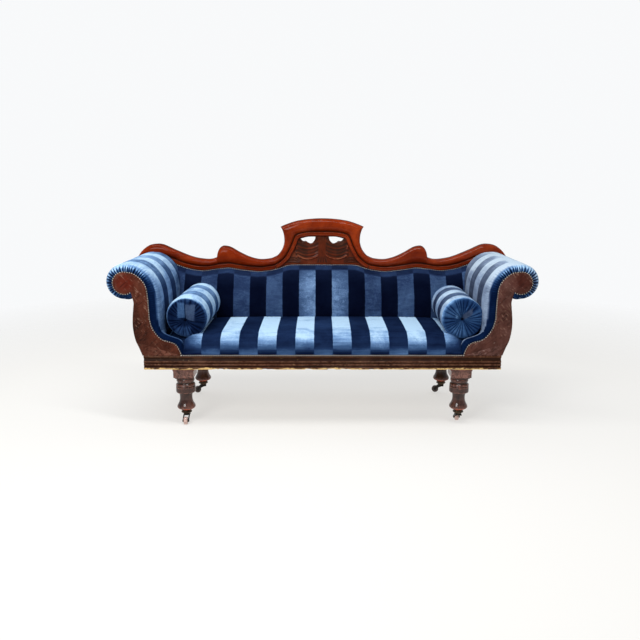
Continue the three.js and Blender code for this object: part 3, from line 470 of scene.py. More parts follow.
def turned(profile, centre, sides=56):
    """A turned solid with flat ends from its [radius, height] profile"""
    x, y = centre
    rows = [[(x + radius * math.cos(turn), y + radius * math.sin(turn), z)
             for turn in np.linspace(0, math.tau, sides, endpoint=False)] for radius, z in profile]
    return skin(rows, around=True, ends=True)


def square_section(half, z, centre, eased=1.6):
    x, y = centre
    points = []
    for turn, (across, along) in enumerate(((1, 1), (-1, 1), (-1, -1), (1, -1))):
        pair = [(across * half, along * (half - eased)), (across * (half - eased), along * half)]
        points += pair[::-1] if turn % 2 else pair
    return [(x + a, y + b, z) for a, b in points]


for corner, centre in LEG_PLACES.items():
    block = skin([square_section(half, z, centre) for half, z in LEG_BLOCK], around=True, ends=True)
    peg = turned(LEG_PEG, centre, 24)
    mesh = new_mesh(f"{corner}_turned_leg", [turned(LEG_PROFILE, centre), block, peg], sharp=42)
    paint_edges(mesh, 3)
    show(mesh, LEG_WOOD, stands_for=[f"{corner}_leg"])


# The casters
# A flared brass cup with a beaded rim grips the leg's tip, an iron fork swivels under it on a riveted
# pin, and a glazed ceramic wheel turns on an iron axle between the fork's horns.
CASTER_TRAIL = 32
AXLE_HEIGHT = 19.03
SWIVEL_ANGLES = {"front_left": 0, "front_right": 180, "rear_left": -80, "rear_right": -100}
CUP_PROFILE = [(4.6, 45.3), (14.5, 45.3), (15.6, 46.2), (17, 49), (19.6, 52), (22.4, 54), (24, 55),
               (25.9, 56), (26.4, 58), (25.9, 60.2), (24, 61.2), (22.6, 62), (22.4, 64), (23.4, 65),
               (23.6, 66.4), (22, 67.1), (19.2, 67.1), (18.5, 65), (18.4, 50.4), (4.6, 50.4)]
CROWN_PROFILE = [(13, 40.4), (16.4, 41.4), (16.8, 43), (15.6, 44.8)]
PIN_PROFILE = [(3.8, 44), (3.8, 50)]
HORN_LINE = [(15.5, 42.8, 10.6), (6, 42.4, 10.8), (-6, 40.4, 10), (-17, 34, 9), (-25.5, 26.6, 8.6),
             (-31, 20.4, 8.2)]
HORN_INSIDE, HORN_OUTSIDE = 11.1, 16
BOSS_PROFILE = [(3.3, 10.9), (7.2, 10.9), (7.6, 13), (7.2, 15.8), (3.3, 16.2)]
AXLE_PROFILE = [(0.2, -16), (2.9, -16), (2.9, 16), (0.2, 16)]
AXLE_END = [(0.2, 14), (3, 14), (4.6, 16.3), (4.2, 17), (0.2, 17.4)]
WHEEL_PROFILE = [(3.4, -10), (8.2, -10), (9, -9.4), (13.8, -8.4), (15.6, -8.9), (17.6, -8.2), (18.9, -6),
                 (19.25, 0), (18.9, 6), (17.6, 8.2), (15.6, 8.9), (13.8, 8.4), (9, 9.4), (8.2, 10), (3.4, 10)]
CASTER_BRASS = plain_material("Tarnished brass", (0.075, 0.05, 0.028), 0.42, 60, 0.5, 0.4, 260, metallic=0.75)
CASTER_IRON = plain_material("Oiled iron", (0.028, 0.024, 0.021), 0.45, 60, 0.5, 0.5, 220, metallic=0.7)
GLAZE = {"front": plain_material("Glazed ceramic", (0.62, 0.42, 0.36), 0.22, 45, 0.25, 0.08, 120),
         "rear": plain_material("Brown glazed ceramic", (0.06, 0.032, 0.024), 0.25, 45, 0.3, 0.1, 120)}


def ring(profile, sides=40):
    return skin([[(radius * math.cos(turn), radius * math.sin(turn), z)
                  for turn in np.linspace(0, math.tau, sides, endpoint=False)]
                 for radius, z in profile + profile[:1]], around=True)


def moved(part, centre, degrees=0):
    turn = math.radians(degrees)
    cos, sin = math.cos(turn), math.sin(turn)
    points, faces = part
    return [(centre[0] + x * cos - y * sin, centre[1] + x * sin + y * cos, z) for x, y, z in points], faces


def along_x_ring(profile, sides=36, sign=1):
    """A wheel turned about an axis along X at the axle, from a closed [radius, along] profile"""
    rows = [[(sign * along, -CASTER_TRAIL + radius * math.cos(turn), AXLE_HEIGHT + radius * math.sin(turn))
             for turn in np.linspace(0, math.tau, sides, endpoint=False)] for radius, along in profile]
    return skin(rows + rows[:1], around=True)


def fork_horn(sign):
    """One horn: a strap that leaves the crown, bends down behind the wheel and ends in a round boss"""
    rows = []
    dense = smooth_line(HORN_LINE, 4)
    inner, outer, eased = sign * HORN_INSIDE, sign * HORN_OUTSIDE, sign * (HORN_OUTSIDE - 1.4)
    for i, (y, z, half) in enumerate(dense):
        ahead, behind = dense[min(i + 1, len(dense) - 1)], dense[max(i - 1, 0)]
        length = math.hypot(ahead[0] - behind[0], ahead[1] - behind[1])
        across = ((ahead[1] - behind[1]) / length, -(ahead[0] - behind[0]) / length)
        thick = half * 0.66 if i > 6 else half * 0.46
        rows.append([(x, y + side_share * thick * across[0], z + side_share * thick * across[1])
                     for x, side_share in ((inner, -0.9), (inner, 0.9), (eased, 1), (outer, 0.6),
                                           (outer, -0.6), (eased, -1))])
    return [skin(rows, around=True, ends=True), along_x_ring(BOSS_PROFILE, 24, sign)]


def smooth_line(points, steps):
    """A curve through points, as many steps from each to the next"""
    line = [np.array(point, float) for point in points]
    line = [2 * line[0] - line[1], *line, 2 * line[-1] - line[-2]]
    made = []
    for before, start, end, after in zip(line, line[1:], line[2:], line[3:]):
        for step in range(steps):
            t = step / steps
            made.append(0.5 * (2 * start + (end - before) * t
                               + (2 * before - 5 * start + 4 * end - after) * t * t
                               + (3 * start - before - 3 * end + after) * t ** 3))
    return [tuple(point) for point in [*made, line[-2]]]


for corner, centre in LEG_PLACES.items():
    angle = SWIVEL_ANGLES[corner]
    cup = new_mesh(f"{corner}_cup", [moved(ring(CUP_PROFILE), centre)], sharp=40)
    show(cup, CASTER_BRASS, stands_for=[f"{corner}_caster_cup"])
    crown, pin = turned(CROWN_PROFILE, (0, 0), 32), turned(PIN_PROFILE, (0, 0), 16)
    fork_parts = [crown, pin, *fork_horn(1), *fork_horn(-1)]
    fork = new_mesh(f"{corner}_fork", [moved(part, centre, angle) for part in fork_parts], sharp=40)
    show(fork, CASTER_IRON, f"{corner}_caster", [f"{corner}_caster_fork"])
    axle_parts = [along_x_ring(AXLE_PROFILE, 16), *(along_x_ring(AXLE_END, 16, sign) for sign in (1, -1))]
    axle = new_mesh(f"{corner}_axle", [moved(part, centre, angle) for part in axle_parts], sharp=40)
    show(axle, CASTER_IRON, f"{corner}_caster", [f"{corner}_caster_axle"])
    wheel = new_mesh(f"{corner}_wheel", [moved(along_x_ring(WHEEL_PROFILE), centre, angle)], sharp=40)
    show(wheel, GLAZE[corner.split("_")[0]], f"{corner}_wheel", [f"{corner}_caster_wheel"])


# Arm facings and rear scrolls
# A mahogany board at the front of each arm is sawn to the arm's outline, from the rail up into the eye
# of the scroll, and a plainer one closes the arm behind. Outlines are [outwards from the frame's end,
# up from the rail] of the right arm, and the left arm mirrors them.
ARM_BASE = 361.13
EYE = (77, 355)
EYE_RADIUS = 52
EASED = 1.8
FACING_FRONT, FACING_BACK = -330, -302
SCROLL_REAR, SCROLL_FRONT = 279.6, 253.4
OUTER_EDGE = [(4, 0), (19, 39.9), (34.1, 76.9), (43, 129.8), (43, 179.9), (36, 242.2), (34.4, 262.1),
              (39, 286.1)]
INNER_EDGE = [(43, 402.9), (24, 395.2), (-3, 372.8), (-23, 341.1), (-31, 295.1), (-34.1, 220.2), (-35, 177.9)]
FOOT_EDGE = [(-35, 177.9), (-47, 133.9), (-71, 96.9), (-98.9, 74.1), (-138, 63.1), (-154, 54.9), (-166, 41.9),
             (-178, 15.1), (-181, 0)]
FACING_WOOD = {
    "left": wood_material("Worn red mahogany facing", (4, 5, 1.1), dark=(0.035, 0.01, 0.006),
                          middle=(0.11, 0.03, 0.017), light=(0.2, 0.075, 0.05), bare=(0.5, 0.33, 0.25),
                          wear=0.9, chips=0.7, gloss=0.3, coat=0.08, eye=(0.949, 0.716, 0.5)),
    "right": wood_material("Worn brown mahogany facing", (4, 5, 1.1), dark=(0.04, 0.014, 0.01),
                           middle=(0.105, 0.04, 0.03), light=(0.2, 0.1, 0.085), bare=(0.5, 0.36, 0.3),
                           wear=0.9, chips=0.8, gloss=0.3, coat=0.08, eye=(0.949, 0.716, 0.15)),
}


def arc(centre, radii, start, end, steps):
    """Points along part of an ellipse, from one angle in degrees to another"""
    return [(centre[0] + radii[0] * math.cos(turn), centre[1] + radii[1] * math.sin(turn))
            for turn in map(math.radians, np.linspace(start, end, steps + 1))]


def beside(line, distance):
    """An open line moved to the right of the way it runs"""
    points = np.array(line, float)
    ways = np.gradient(points, axis=0)
    ways /= np.linalg.norm(ways, axis=1)[:, None] + 1e-9
    return [tuple(point) for point in points + distance * np.stack([ways[:, 1], -ways[:, 0]], 1)]


def mirrored(part):
    points, faces = part
    return [(-x, y, z) for x, y, z in points], [face[::-1] for face in faces]


HANDS = {"left": mirrored, "right": lambda part: part}


def on_arm(outline, y):
    return [(RAIL_END + out, y, ARM_BASE + up) for out, up in outline]


eye_arc = arc(EYE, (EYE_RADIUS, EYE_RADIUS), -128, 100, 56)
outer_line = smooth_line([*OUTER_EDGE, eye_arc[0]], 8)
inner_line = smooth_line([eye_arc[-1], *INNER_EDGE], 9)[1:]
foot_line = smooth_line(FOOT_EDGE, 8)
facing_outline = [*outer_line[:-1], *eye_arc, *inner_line, *foot_line[1:]]
rear_outline = [(outer_line[0][0], -1), *outer_line[1:-1], *eye_arc, *inner_line, (-35, -1)]


def board(outline, front, back):
    """A board sawn to an outline, with its front arris eased in three steps"""
    closed = np.array(outline + outline[:1], float)
    closed = np.vstack([closed[-2], closed, closed[1]])
    ways = np.gradient(closed, axis=0)[1:-2]
    ways /= np.linalg.norm(ways, axis=1)[:, None] + 1e-9
    outline = np.array(outline, float)
    turn = 1 if sum(a[0] * b[1] - b[0] * a[1] for a, b in zip(outline, np.roll(outline, -1, 0))) > 0 else -1
    inward = turn * np.stack([-ways[:, 1], ways[:, 0]], 1)
    rows = []
    for inset, y in ((EASED, front), (EASED * 0.3, front + EASED * 0.3), (0, front + EASED), (0, back)):
        rows.append(on_arm([tuple(point) for point in outline + inset * inward], y))
    return skin(rows, around=True, ends=True)


ARM_BOARDS = (("facing_board", "arm_facing", board(facing_outline, FACING_FRONT, FACING_BACK)),
              ("rear_scroll_board", "rear_arm_scroll", board(rear_outline, SCROLL_REAR, SCROLL_FRONT)))
for side, handed in HANDS.items():
    for name, node_name, sawn in ARM_BOARDS:
        mesh = new_mesh(f"{side}_{name}", [handed(sawn)], sharp=50)
        paint_edges(mesh, 2)
        show(mesh, FACING_WOOD[side], stands_for=[f"{side}_{node_name}"])


# The velvet
# Blue cotton velvet cut from one roll. Its stripes are the lie of the nap, and their tones are painted
# sheen and shade, so the dark and the light ones change places where the cloth turns away. Rubbing
# leaves pale marks.
STRIPE = 91.6
VELVET_TONES = [(0.0, (0.0006, 0.0016, 0.0105)), (0.2, (0.0024, 0.0085, 0.036)),
                (0.4, (0.010, 0.033, 0.107)), (0.6, (0.044, 0.112, 0.26)), (0.8, (0.18, 0.35, 0.64)),
                (1.0, (0.48, 0.72, 0.95))]
NAP_SHADOW = (0.0, 0.003, 0.014, 1)
VELVET_ATTRIBUTES = ("across", "dark_stripe", "light_stripe", "grey")


def striped_nap():
    """Velvet whose tone is painted sheen and shade, from 0, the nap in painted shade, to 1, the nap in a
    painted sheen
    """
    group, given, made = new_group(
        "Striped nap",
        [("Vector", "Vector"), ("Brush way", "Vector"), ("Across", "Float"), ("Width", "Float"),
         ("Dark stripe", "Float"), ("Light stripe", "Float"), ("Grey", "Float"), ("Rubbing", "Float")],
        [("Color", "Color"), ("Roughness", "Float"), ("Height", "Float")])
    place = given["Vector"]
    wobble = ranged(group, clouds(group, place, 60.0, 3.0), 0.3, 0.7, -0.8, 0.8)
    turns = maths(group, "DIVIDE", maths(group, "ADD", given["Across"], wobble),
                  maths(group, "MULTIPLY", given["Width"], 2.0))
    mask = node(group, "ShaderNodeMapRange", {0: maths(group, "PINGPONG", turns, 0.5), 1: 0.241, 2: 0.259},
                interpolation_type="SMOOTHSTEP").outputs[0]
    spread = maths(group, "SUBTRACT", given["Light stripe"], given["Dark stripe"])
    tone = maths(group, "MULTIPLY_ADD", mask, spread, given["Dark stripe"])
    pressed = clouds(group, place, 8.0, 4.0, 0.62, 0.6)
    brushed = clouds(group, stretched(group, place, given["Brush way"]), 1.0, 4.0, 0.7, 0.5)
    off_line = maths(group, "SUBTRACT", clouds(group, place, 21.0, 2.0, 0.5, 3.4), 0.5)
    off_line = maths(group, "ABSOLUTE", off_line)
    curl = maths(group, "MULTIPLY", ranged(group, off_line, 0.035, 0.0), given["Rubbing"])
    reach = maths(group, "MULTIPLY_ADD", tone, 0.12, 0.025)
    tone = maths(group, "MULTIPLY_ADD", ranged(group, pressed, 0.3, 0.7, -1.0, 1.0), reach, tone)
    tone = maths(group, "MULTIPLY_ADD", ranged(group, brushed, 0.3, 0.7, -0.6, 0.6), reach, tone)
    tone = maths(group, "MULTIPLY_ADD", curl, maths(group, "MULTIPLY", tone, 0.22), tone)
    scale = node(group, "ShaderNodeValToRGB", {0: tone})
    tones = scale.color_ramp.elements
    for position, _ in VELVET_TONES[1:-1]:
        tones.new(position)
    for mark, (position, color) in zip(tones, VELVET_TONES):
        mark.position, mark.color = position, (*color, 1)
    # Grey is painted light: it turns the nap greyer and duller where the light washes its colour out
    greyed = node(group, "ShaderNodeHueSaturation", {
        "Saturation": maths(group, "SUBTRACT", 1.0, given["Grey"]), "Color": scale.outputs[0],
        "Value": maths(group, "MULTIPLY_ADD", given["Grey"], -0.45, 1.0)}).outputs[0]
    tuft = clouds(group, place, 560.0, 3.0, 0.7)
    height = maths(group, "ADD", maths(group, "MULTIPLY", tuft, 0.5), maths(group, "MULTIPLY", pressed, 1.2))
    plug(group, made, {"Color": blended(group, ranged(group, tuft, 0.35, 0.7, 0.3, 0.0), greyed, NAP_SHADOW),
                       "Roughness": ranged(group, pressed, 0.3, 0.7, 0.75, 0.92), "Height": height})
    return group


NAP = striped_nap()


def velvet_material(name, brush_way, rubbing=0.5, width=STRIPE):
    material, tree, shader, place = new_material(name)
    nap = node(tree, "ShaderNodeGroup", node_tree=NAP)
    plug(tree, nap, {"Vector": place, "Brush way": brush_way, "Width": width, "Rubbing": rubbing})
    plug(tree, nap, {paint_name.capitalize().replace("_", " "): attribute(tree, paint_name)
                     for paint_name in VELVET_ATTRIBUTES})
    plug(tree, shader, {"Base Color": nap.outputs["Color"], "Roughness": nap.outputs["Roughness"],
                        "Normal": bumped(tree, nap.outputs["Height"], 0.35, 0.0012), "Sheen Weight": 0.015,
                        "Sheen Roughness": 0.4, "Sheen Tint": (0.3, 0.55, 1.0, 1), "Specular IOR Level": 0.0})
    return material


def ramp(value, low, high):
    """A smooth rise from nought at low to one at high, which may be the lower one"""
    share = np.clip((value - low) / (high - low), 0, 1)
    return share * share * (3 - 2 * share)


def paint_velvet(mesh, *values):
    for name, value in zip(VELVET_ATTRIBUTES, values):
        paint(mesh, name, np.full(len(mesh.vertices), value))


MOST_SWELL = 0.007
CLOTH_FRAMES = 20
CLOTH_SETTINGS = dict(quality=5, mass=0.4, tension_stiffness=18, compression_stiffness=18, shear_stiffness=8,
                      bending_stiffness=0.6, use_pressure=True, uniform_pressure_force=3, shrink_min=-0.012,
                      vertex_group_mass="held")


def stuffed(piece, held):
    """Lets the stuffing press the cover out between the places where it is held"""
    mesh = piece.data
    start = numbers(mesh.vertices, "co")
    piece.vertex_groups.new(name="held").add([int(i) for i in held], 1.0, "REPLACE")
    cover = piece.modifiers.new("cover", "CLOTH")
    cover.point_cache.frame_start, cover.point_cache.frame_end = 1, CLOTH_FRAMES
    for name, value in CLOTH_SETTINGS.items():
        setattr(cover.settings, name, value)
    cover.settings.effector_weights.gravity = 0
    for moment in range(1, CLOTH_FRAMES + 1):
        bpy.context.scene.frame_set(moment)
    pressed = piece.evaluated_get(bpy.context.evaluated_depsgraph_get()).data
    move = numbers(pressed.vertices, "co") - start
    move *= np.minimum(1, MOST_SWELL / (np.linalg.norm(move, axis=1)[:, None] + 1e-9))
    piece.modifiers.remove(cover)
    piece.vertex_groups.clear()
    mesh.vertices.foreach_set("co", (start + move).ravel())
    mesh.update()
    bpy.context.scene.frame_set(1)


# Arm padding
# Stuffing over the arm's rail and inner face under striped velvet. The velvet is drawn forward over the
# front edge, gathered in small pleats round the scroll, and nailed along the facing.
ROLL_RADII = (91, 86)
ROLL_CENTRE = (77, 359)
PAD_FLAT = -87
PAD_FACE = [(30.1, 440.8), (-6.1, 424.1), (-36, 398), (-60.6, 362.2), (-77.4, 321.5), (-85.2, 269.8),
            (PAD_FLAT, 203.5)]
PAD_FOOT = [(PAD_FLAT, 118), (-98, 108), (-122, 94), (-152, 84), (-172, 76), (-186, 66), (-194, 50),
            (-199, 28), (-203, 4)]
NAIL_LINE = -322.5
PAD_HEART = np.array([-36.0, 40.0])
PAD_POINTS = 520
BORDER = 41
PLEAT_WIDTH, PLEAT_DEPTH = 9.8, 5.6
ARM_STRIPE = 98
ARM_FRONT_LIGHT = -304
ARM_ROWS = [(0.02, NAIL_LINE), (0.06, -323.6), (0.16, -324.8), (0.32, -325), (0.48, -323.8), (0.62, -321.4),
            (0.75, -317.6), (0.85, -313), (0.92, -307), (0.965, -300), (0.99, -290), (1, -278),
            *((1, y) for y in np.linspace(-264, 255, 27)), (0.985, 266), (0.93, 274), (0.8, 278.6)]
ARM_VELVET = velvet_material("Arm velvet", (30, 5, 30), rubbing=0.25, width=ARM_STRIPE)


def spread_evenly(line, count):
    points = np.array(line, float)
    far = np.concatenate([[0], np.cumsum(np.linalg.norm(np.diff(points, axis=0), axis=1))])
    places = np.linspace(0, far[-1], count)
    return np.stack([np.interp(places, far, points[:, k]) for k in range(points.shape[1])], 1), places


def arm_lines(count):
    """The wood's edge and the padding's outside, both from under the scroll round to the facing's foot"""
    roll = arc(ROLL_CENTRE, ROLL_RADII, -116, 100, 40)
    face = smooth_line([roll[-1], *PAD_FACE], 6)[1:]
    straight = [(PAD_FLAT, up) for up in np.linspace(203.5, 118, 12)][1:]
    wood = [*outer_line[-12:-1], *eye_arc, *inner_line, *foot_line[1:]]
    outside = [*roll, *face, *straight, *smooth_line(PAD_FOOT, 6)[1:]]
    wood_even, wood_far = spread_evenly(wood, count * 3)
    outside_even, _ = spread_evenly(outside, count)
    pairs = []
    start = 0
    for point in outside_even:
        window = wood_even[start:start + 80]
        nearest = start + int(np.argmin(np.linalg.norm(window - point, axis=1)))
        start = max(start, nearest - 1)
        pairs.append(nearest)
    pairs = np.maximum.accumulate(np.array(pairs))
    smoothed = np.convolve(np.pad(pairs, 12, mode="edge"), np.ones(25) / 25, mode="valid")
    inner = np.stack([np.interp(smoothed, np.arange(len(wood_even)), wood_even[:, k]) for k in (0, 1)], 1)
    far = np.interp(smoothed, np.arange(len(wood_even)), wood_far)
    return inner, outside_even, far


def pleats(far, period, seed):
    """Narrow creases between rounded folds along a line: 1 on a fold's top, 0 in a crease"""
    shift = np.array([1.6 * noise.noise((f * 0.045, 1.7, seed)) for f in far])
    wave = np.abs(np.sin(math.pi * far / period + shift)) ** 0.55
    strength = np.array([0.72 + 0.55 * noise.noise((f * 0.09, 5.2, seed)) for f in far])
    return wave, strength


def arm_padding():
    """The padding's rows, and for each point its place across the stripes, a dark and a light stripe's tone
    there, and how far it is from the border by the facing, whose painted tone ignores the stripes. All these
    tones are painted sheen and shade"""
    inner, outside, far = arm_lines(PAD_POINTS)
    count = len(outside)
    wood_side = np.arange(count - 1, -1, -8)
    hidden = np.full(len(wood_side), 0.2)
    way = outside - inner
    gap = np.linalg.norm(way, axis=1)
    fold, strength = pleats(far, PLEAT_WIDTH, 2.0)
    gathers = strength * ramp(far, 2, 22) * (1 - 0.75 * ramp(far, 330, 430))
    out_now, up_now = outside.T
    top, low = ramp(up_now, 290, 430), ramp(up_now, 240, 120)
    outer_side, far_side = ramp(out_now, 90, 160), ramp(out_now, 118, 158)
    rolled = np.maximum(top, outer_side)
    plain = 0.7 * ramp(out_now, -10, -50)
    foot = ramp(up_now, 128, 96) * (out_now < -60)
    foot_place = np.stack([np.full(count, float(PAD_FLAT)), np.minimum(up_now, 118) * 0.2 + 62], 1)
    # Painted light: the roll's top and outer side lighter, its far side and lower face darker, painted shade
    # in the pleats' creases and a painted highlight on their folds
    border_shade = 0.19 + 0.11 * rolled + 0.16 * outer_side - 0.33 * far_side
    border_shade -= 0.1 * rolled * ramp(out_now, 70, 20)
    face_dark, face_light = 0.36 + 0.36 * top - 0.1 * low, 0.68 + 0.27 * top - 0.06 * low
    rows, across, dark_stripe, light_stripe, grey = [], [], [], [], []
    for fullness, y in ARM_ROWS:
        crimp = gathers * (fold - 0.8) * PLEAT_DEPTH
        if y < -277:
            crimp = crimp * math.sin(math.pi * min(1, 0.12 + fullness * 0.82))
        else:
            crimp = crimp * 0.19 * max(0.0, 1 - (y + 278) / 24)
        spot = inner + fullness * way + way / (gap[:, None] + 1e-9) * (crimp * 0.6 * fullness)[:, None]
        behind = (ramp(y, -296, -232) * foot)[:, None]
        spot = spot * (1 - behind) + foot_place * behind
        wood = (inner * (1 - behind) + PAD_HEART * behind)[wood_side]
        row = [(RAIL_END + out, y - shift, ARM_BASE + up) for (out, up), shift in zip(spot, crimp)]
        row += [(RAIL_END + out, max(y, -322.0), ARM_BASE + up) for out, up in wood]
        rows.append(row)
        from_nails = fullness * gap + max(0.0, y - NAIL_LINE)
        border = (1 - ramp((from_nails - BORDER + 7 * rolled) / (5 + 22 * rolled), 0, 1)) * (y < 200)
        creased = 1 - ramp(from_nails, 26 + 20 * far_side, 40 + 24 * far_side)
        creased = gathers * creased * (1 + 0.15 * far_side) * (1 - plain)
        shade = border_shade + 0.46 * rolled * ramp(from_nails, 12, 32) + creased * (fold ** 2 - 0.5)
        # Painted shade in the creases of the pleats
        crease = 0.3 * gathers * (1 - fold) * max(0.0, 1 - max(0.0, y + 305) / 40)
        across += [*np.full(count, y - ARM_FRONT_LIGHT + ARM_STRIPE / 2 if y > -300 else ARM_STRIPE), *hidden]
        dark_stripe += [*(shade * border + face_dark * (1 - border)), *hidden]
        light_stripe += [*(shade * border + (face_light - crease) * (1 - border)), *hidden]
        grey += [*np.maximum(1 - border, 0.5 * far_side * (y < -250)), *hidden]
    return rows, *(np.array(values) for values in (across, dark_stripe, light_stripe, grey))


# The right arm is painted greyer and paler than the left, as painted light, and its stripes start nearer the
# front. Its dark stripes fade over the roll in a painted sheen. Each pair of lifts is for the dark and for
# the light stripes.
ARM_CAST = {"left": (0.08, 0, (0, 0), (-0.04, 0), (0.1, 0)),
            "right": (0.38, 20, (0.1, 0.06), (-0.14, 0.02), (0.32, 0.08))}
arm_rows, arm_across, *arm_tones, arm_grey = arm_padding()
arm_spots = np.array([spot for row in arm_rows for spot in row])
arm_top = ramp(arm_spots[:, 2] - ARM_BASE, 290, 430)
arm_shine = arm_top * ramp(arm_spots[:, 0] - RAIL_END, -10, 80)
for side, (grey, forward, lift, top_lift, shine) in ARM_CAST.items():
    mesh = swept(f"{side}_arm_padding", arm_rows, 180, HANDS[side])
    across = arm_across + forward * (arm_across != ARM_STRIPE)
    lifted = np.outer(lift, arm_grey) + np.outer(top_lift, arm_top * arm_grey) + np.outer(shine, arm_shine)
    paint_velvet(mesh, across, *(arm_tones + lifted), arm_grey * grey)
    pad = show(mesh, ARM_VELVET, stands_for=[f"{side}_arm_upholstery"])


# Outside arm covers
# Plain blue cotton stretched from under the scroll down to the end rail and nailed at its edges.
LINING = plain_material("Blue lining", (0.03, 0.06, 0.13), 0.85, 9, 0.25, 0.5, 700, sheen=0.2)


CLOTH_THICKNESS = 0.0014
SIGNS = {"left": -1, "right": 1}
COVER_FRONT, COVER_REAR = -301, 252.8


def thin_cloth(name, rows, node_name):
    piece = show(new_mesh(name, [skin(rows)], sharp=180), LINING, stands_for=[node_name])
    wall = piece.modifiers.new("wall", "SOLIDIFY")
    wall.thickness = CLOTH_THICKNESS
    wall.offset = 0
    return piece


cover_line = [point for point in outer_line if point[1] < 293]
for side, sign in SIGNS.items():
    rows = []
    for y in np.linspace(COVER_FRONT, COVER_REAR, 40):
        sag = 1.4 + 1.6 * ramp(min(y - COVER_FRONT, COVER_REAR - y), 0, 60)
        rows.append([(sign * (RAIL_END + out - sag + 0.8 * noise.noise((y * 0.012, up * 0.016, sign * 3.0))),
                      y, ARM_BASE + up) for out, up in cover_line])
    cover = thin_cloth(f"{side}_outside_cover", rows, f"{side}_outside_arm_cover")


# Seat padding
# A sprung seat stuffed into a low crown, with a rolled front edge and sacking underneath. Its velvet is
# nailed along the top of the front rail, and dips where it meets the arms.
SEAT_LOW = 361.2
SEAT_HALF = 784
SEAT_DEPTH = 584
SEAT_FRONT = -329.4
SEAT_CROWN = 97
SEAT_VELVET = velvet_material("Seat velvet", (4, 70, 70), rubbing=0.5)
SEAT_SECTION = [(4, 0.4), (1.2, 3), (0.6, 10), (0.3, 20), (0.8, 32), (2.2, 43), (5, 54), (9.5, 64), (16, 73),
                (25, 80.6), (36, 86.4), (49, 90.6), (64, 93.4), (82, 95.4), (104, 97)]


def seat_padding():
    section = smooth_line(SEAT_SECTION, 3)
    section += [(back, SEAT_CROWN + 2.4 * math.sin(math.pi * min(1, (back - 104) / 420)))
                for back in np.linspace(113, 580, 50)]
    section += [(SEAT_DEPTH, 88), (SEAT_DEPTH, 50), (SEAT_DEPTH, 10), (SEAT_DEPTH - 4, 0)]
    section += [(back, 0) for back in np.linspace(540, 20, 14)]
    side = np.linspace(-SEAT_HALF, -640, 34)
    rows, across, dark_stripe, light_stripe = [], [], [], []
    for x in np.concatenate([side, np.linspace(-632, 632, 150), -side[::-1]]):
        out = abs(x)
        recede = 62 * ramp(out, 668, 716)
        drop = 1 - 0.2 * (out / SEAT_HALF) ** 4 - 0.06 * ramp(out, 655, 716)
        row = []
        for back, up in section:
            front_share = max(0.0, 1 - back / 150)
            height = up * (drop - 0.35 * front_share * ramp(out, 640, 720))
            crevice = 9 * ramp(out, 742, SEAT_HALF) * min(1, up / 60)
            puff = 1.2 * noise.noise((x * 0.008, back * 0.011, 2.3)) * min(1, up / 80)
            row.append((x, SEAT_FRONT + back + recede * front_share * (up > 0),
                        SEAT_LOW + height - crevice + puff))
            # Painted light and shade: the light stripes darker near the arms, lighter towards the crown and
            # the back, the dark ones lighter on the rolled front as painted sheen, and a painted sheen over
            # the middle
            near_arm = 0.34 * ramp(out, 560, 680) + 0.19 * ramp(out, 640, 700) * ramp(up, 45, 80)
            rise = 0.16 * ramp(up, 0, 22) + 0.308 * ramp(up, 4, 46) + 0.33 * ramp(up, 40, 96)
            light_stripe.append(0.06 + rise + 0.06 * ramp(up, 24, 50) + 0.12 * ramp(back, 60, 240)
                                - near_arm * ramp(up, 10, 40))
            dark_stripe.append(0.26 + 0.26 * (1 - ramp(up, 18, 54)) + 0.04 * ramp(out, 600, 690)
                               - 0.05 * ramp(back, 30, 160)
                               + 0.14 * math.exp(-((x - 5) / 230) ** 2 - ((back - 230) / 120) ** 2))
            across.append(x - 5)
        rows.append(row)
    return rows, across, dark_stripe, light_stripe


seat_rows, *seat_tones = seat_padding()
seat_mesh = swept("seat_padding", seat_rows, 180)
paint_velvet(seat_mesh, *seat_tones, 0.06)
seat = show(seat_mesh, SEAT_VELVET, stands_for=["seat_upholstery"])
seat_mesh.materials.append(plain_material("Sacking", (0.3, 0.2, 0.1), 0.9, 14, 0.2, 0.8, 700))
for face in seat_mesh.polygons:
    if face.normal.z < -0.9 and face.center.z < (SEAT_LOW + 3) * 0.001:
        face.material_index = 1
stuffed(seat, [v.index for v in seat_mesh.vertices
               if v.co.z < 0.366 or abs(v.co.x) > 0.7 or v.co.y > 0.13])


# Back padding
# Stuffing between the posts under striped velvet, full at the small of the back, and rolled in at the
# top where it is nailed under the crest.
BACK_HALF = 836
TRIM_LEVEL = 730.83
BACK_VELVET = velvet_material("Back velvet", (20, 30, 90), rubbing=0.6, width=90.6)
SIDE_UNDERSIDE = [(1, 0.174), (0.961, 0.12), (0.895, 0.105), (0.83, 0.1), (0.771, 0.066), (0.698, -0.023),
                  (0.626, -0.089), (0.553, -0.124), (0.503, -0.126), (0.442, -0.097), (0.369, -0.074),
                  (0.332, -0.07), (0.258, -0.105), (0.184, -0.132), (0.111, -0.147), (0.038, -0.124),
                  (0, -0.101)]
PANEL_UNDERSIDE = [(0.894, -0.07), (0.81, -0.039), (0.747, -0.019), (0.683, -0.004), (0.6, 0), (0, 0)]
CREST_RISE = 258
CREST_TIP = 1030
JOINT = 265
PAD_BOTTOM, PAD_FULLNESS = 452, 126
POST_FOOT = (255, 359.83)
POST_RAKE = 0.0938
STRIPE_START = 8.4


def on_crest(shares):
    return [(JOINT + out * (CREST_TIP - JOINT), TRIM_LEVEL + up * CREST_RISE) for out, up in shares]


side_bottom = smooth_line(on_crest(SIDE_UNDERSIDE), 6)
panel_bottom = [(out * JOINT, TRIM_LEVEL + up * CREST_RISE) for out, up in PANEL_UNDERSIDE]
underside = sorted([*side_bottom, *panel_bottom])
underside_x, underside_z = zip(*underside)


def underside_at(x):
    return float(np.interp(abs(x), underside_x, underside_z))


def post_front(z):
    return POST_FOOT[0] + (z - POST_FOOT[1]) * POST_RAKE


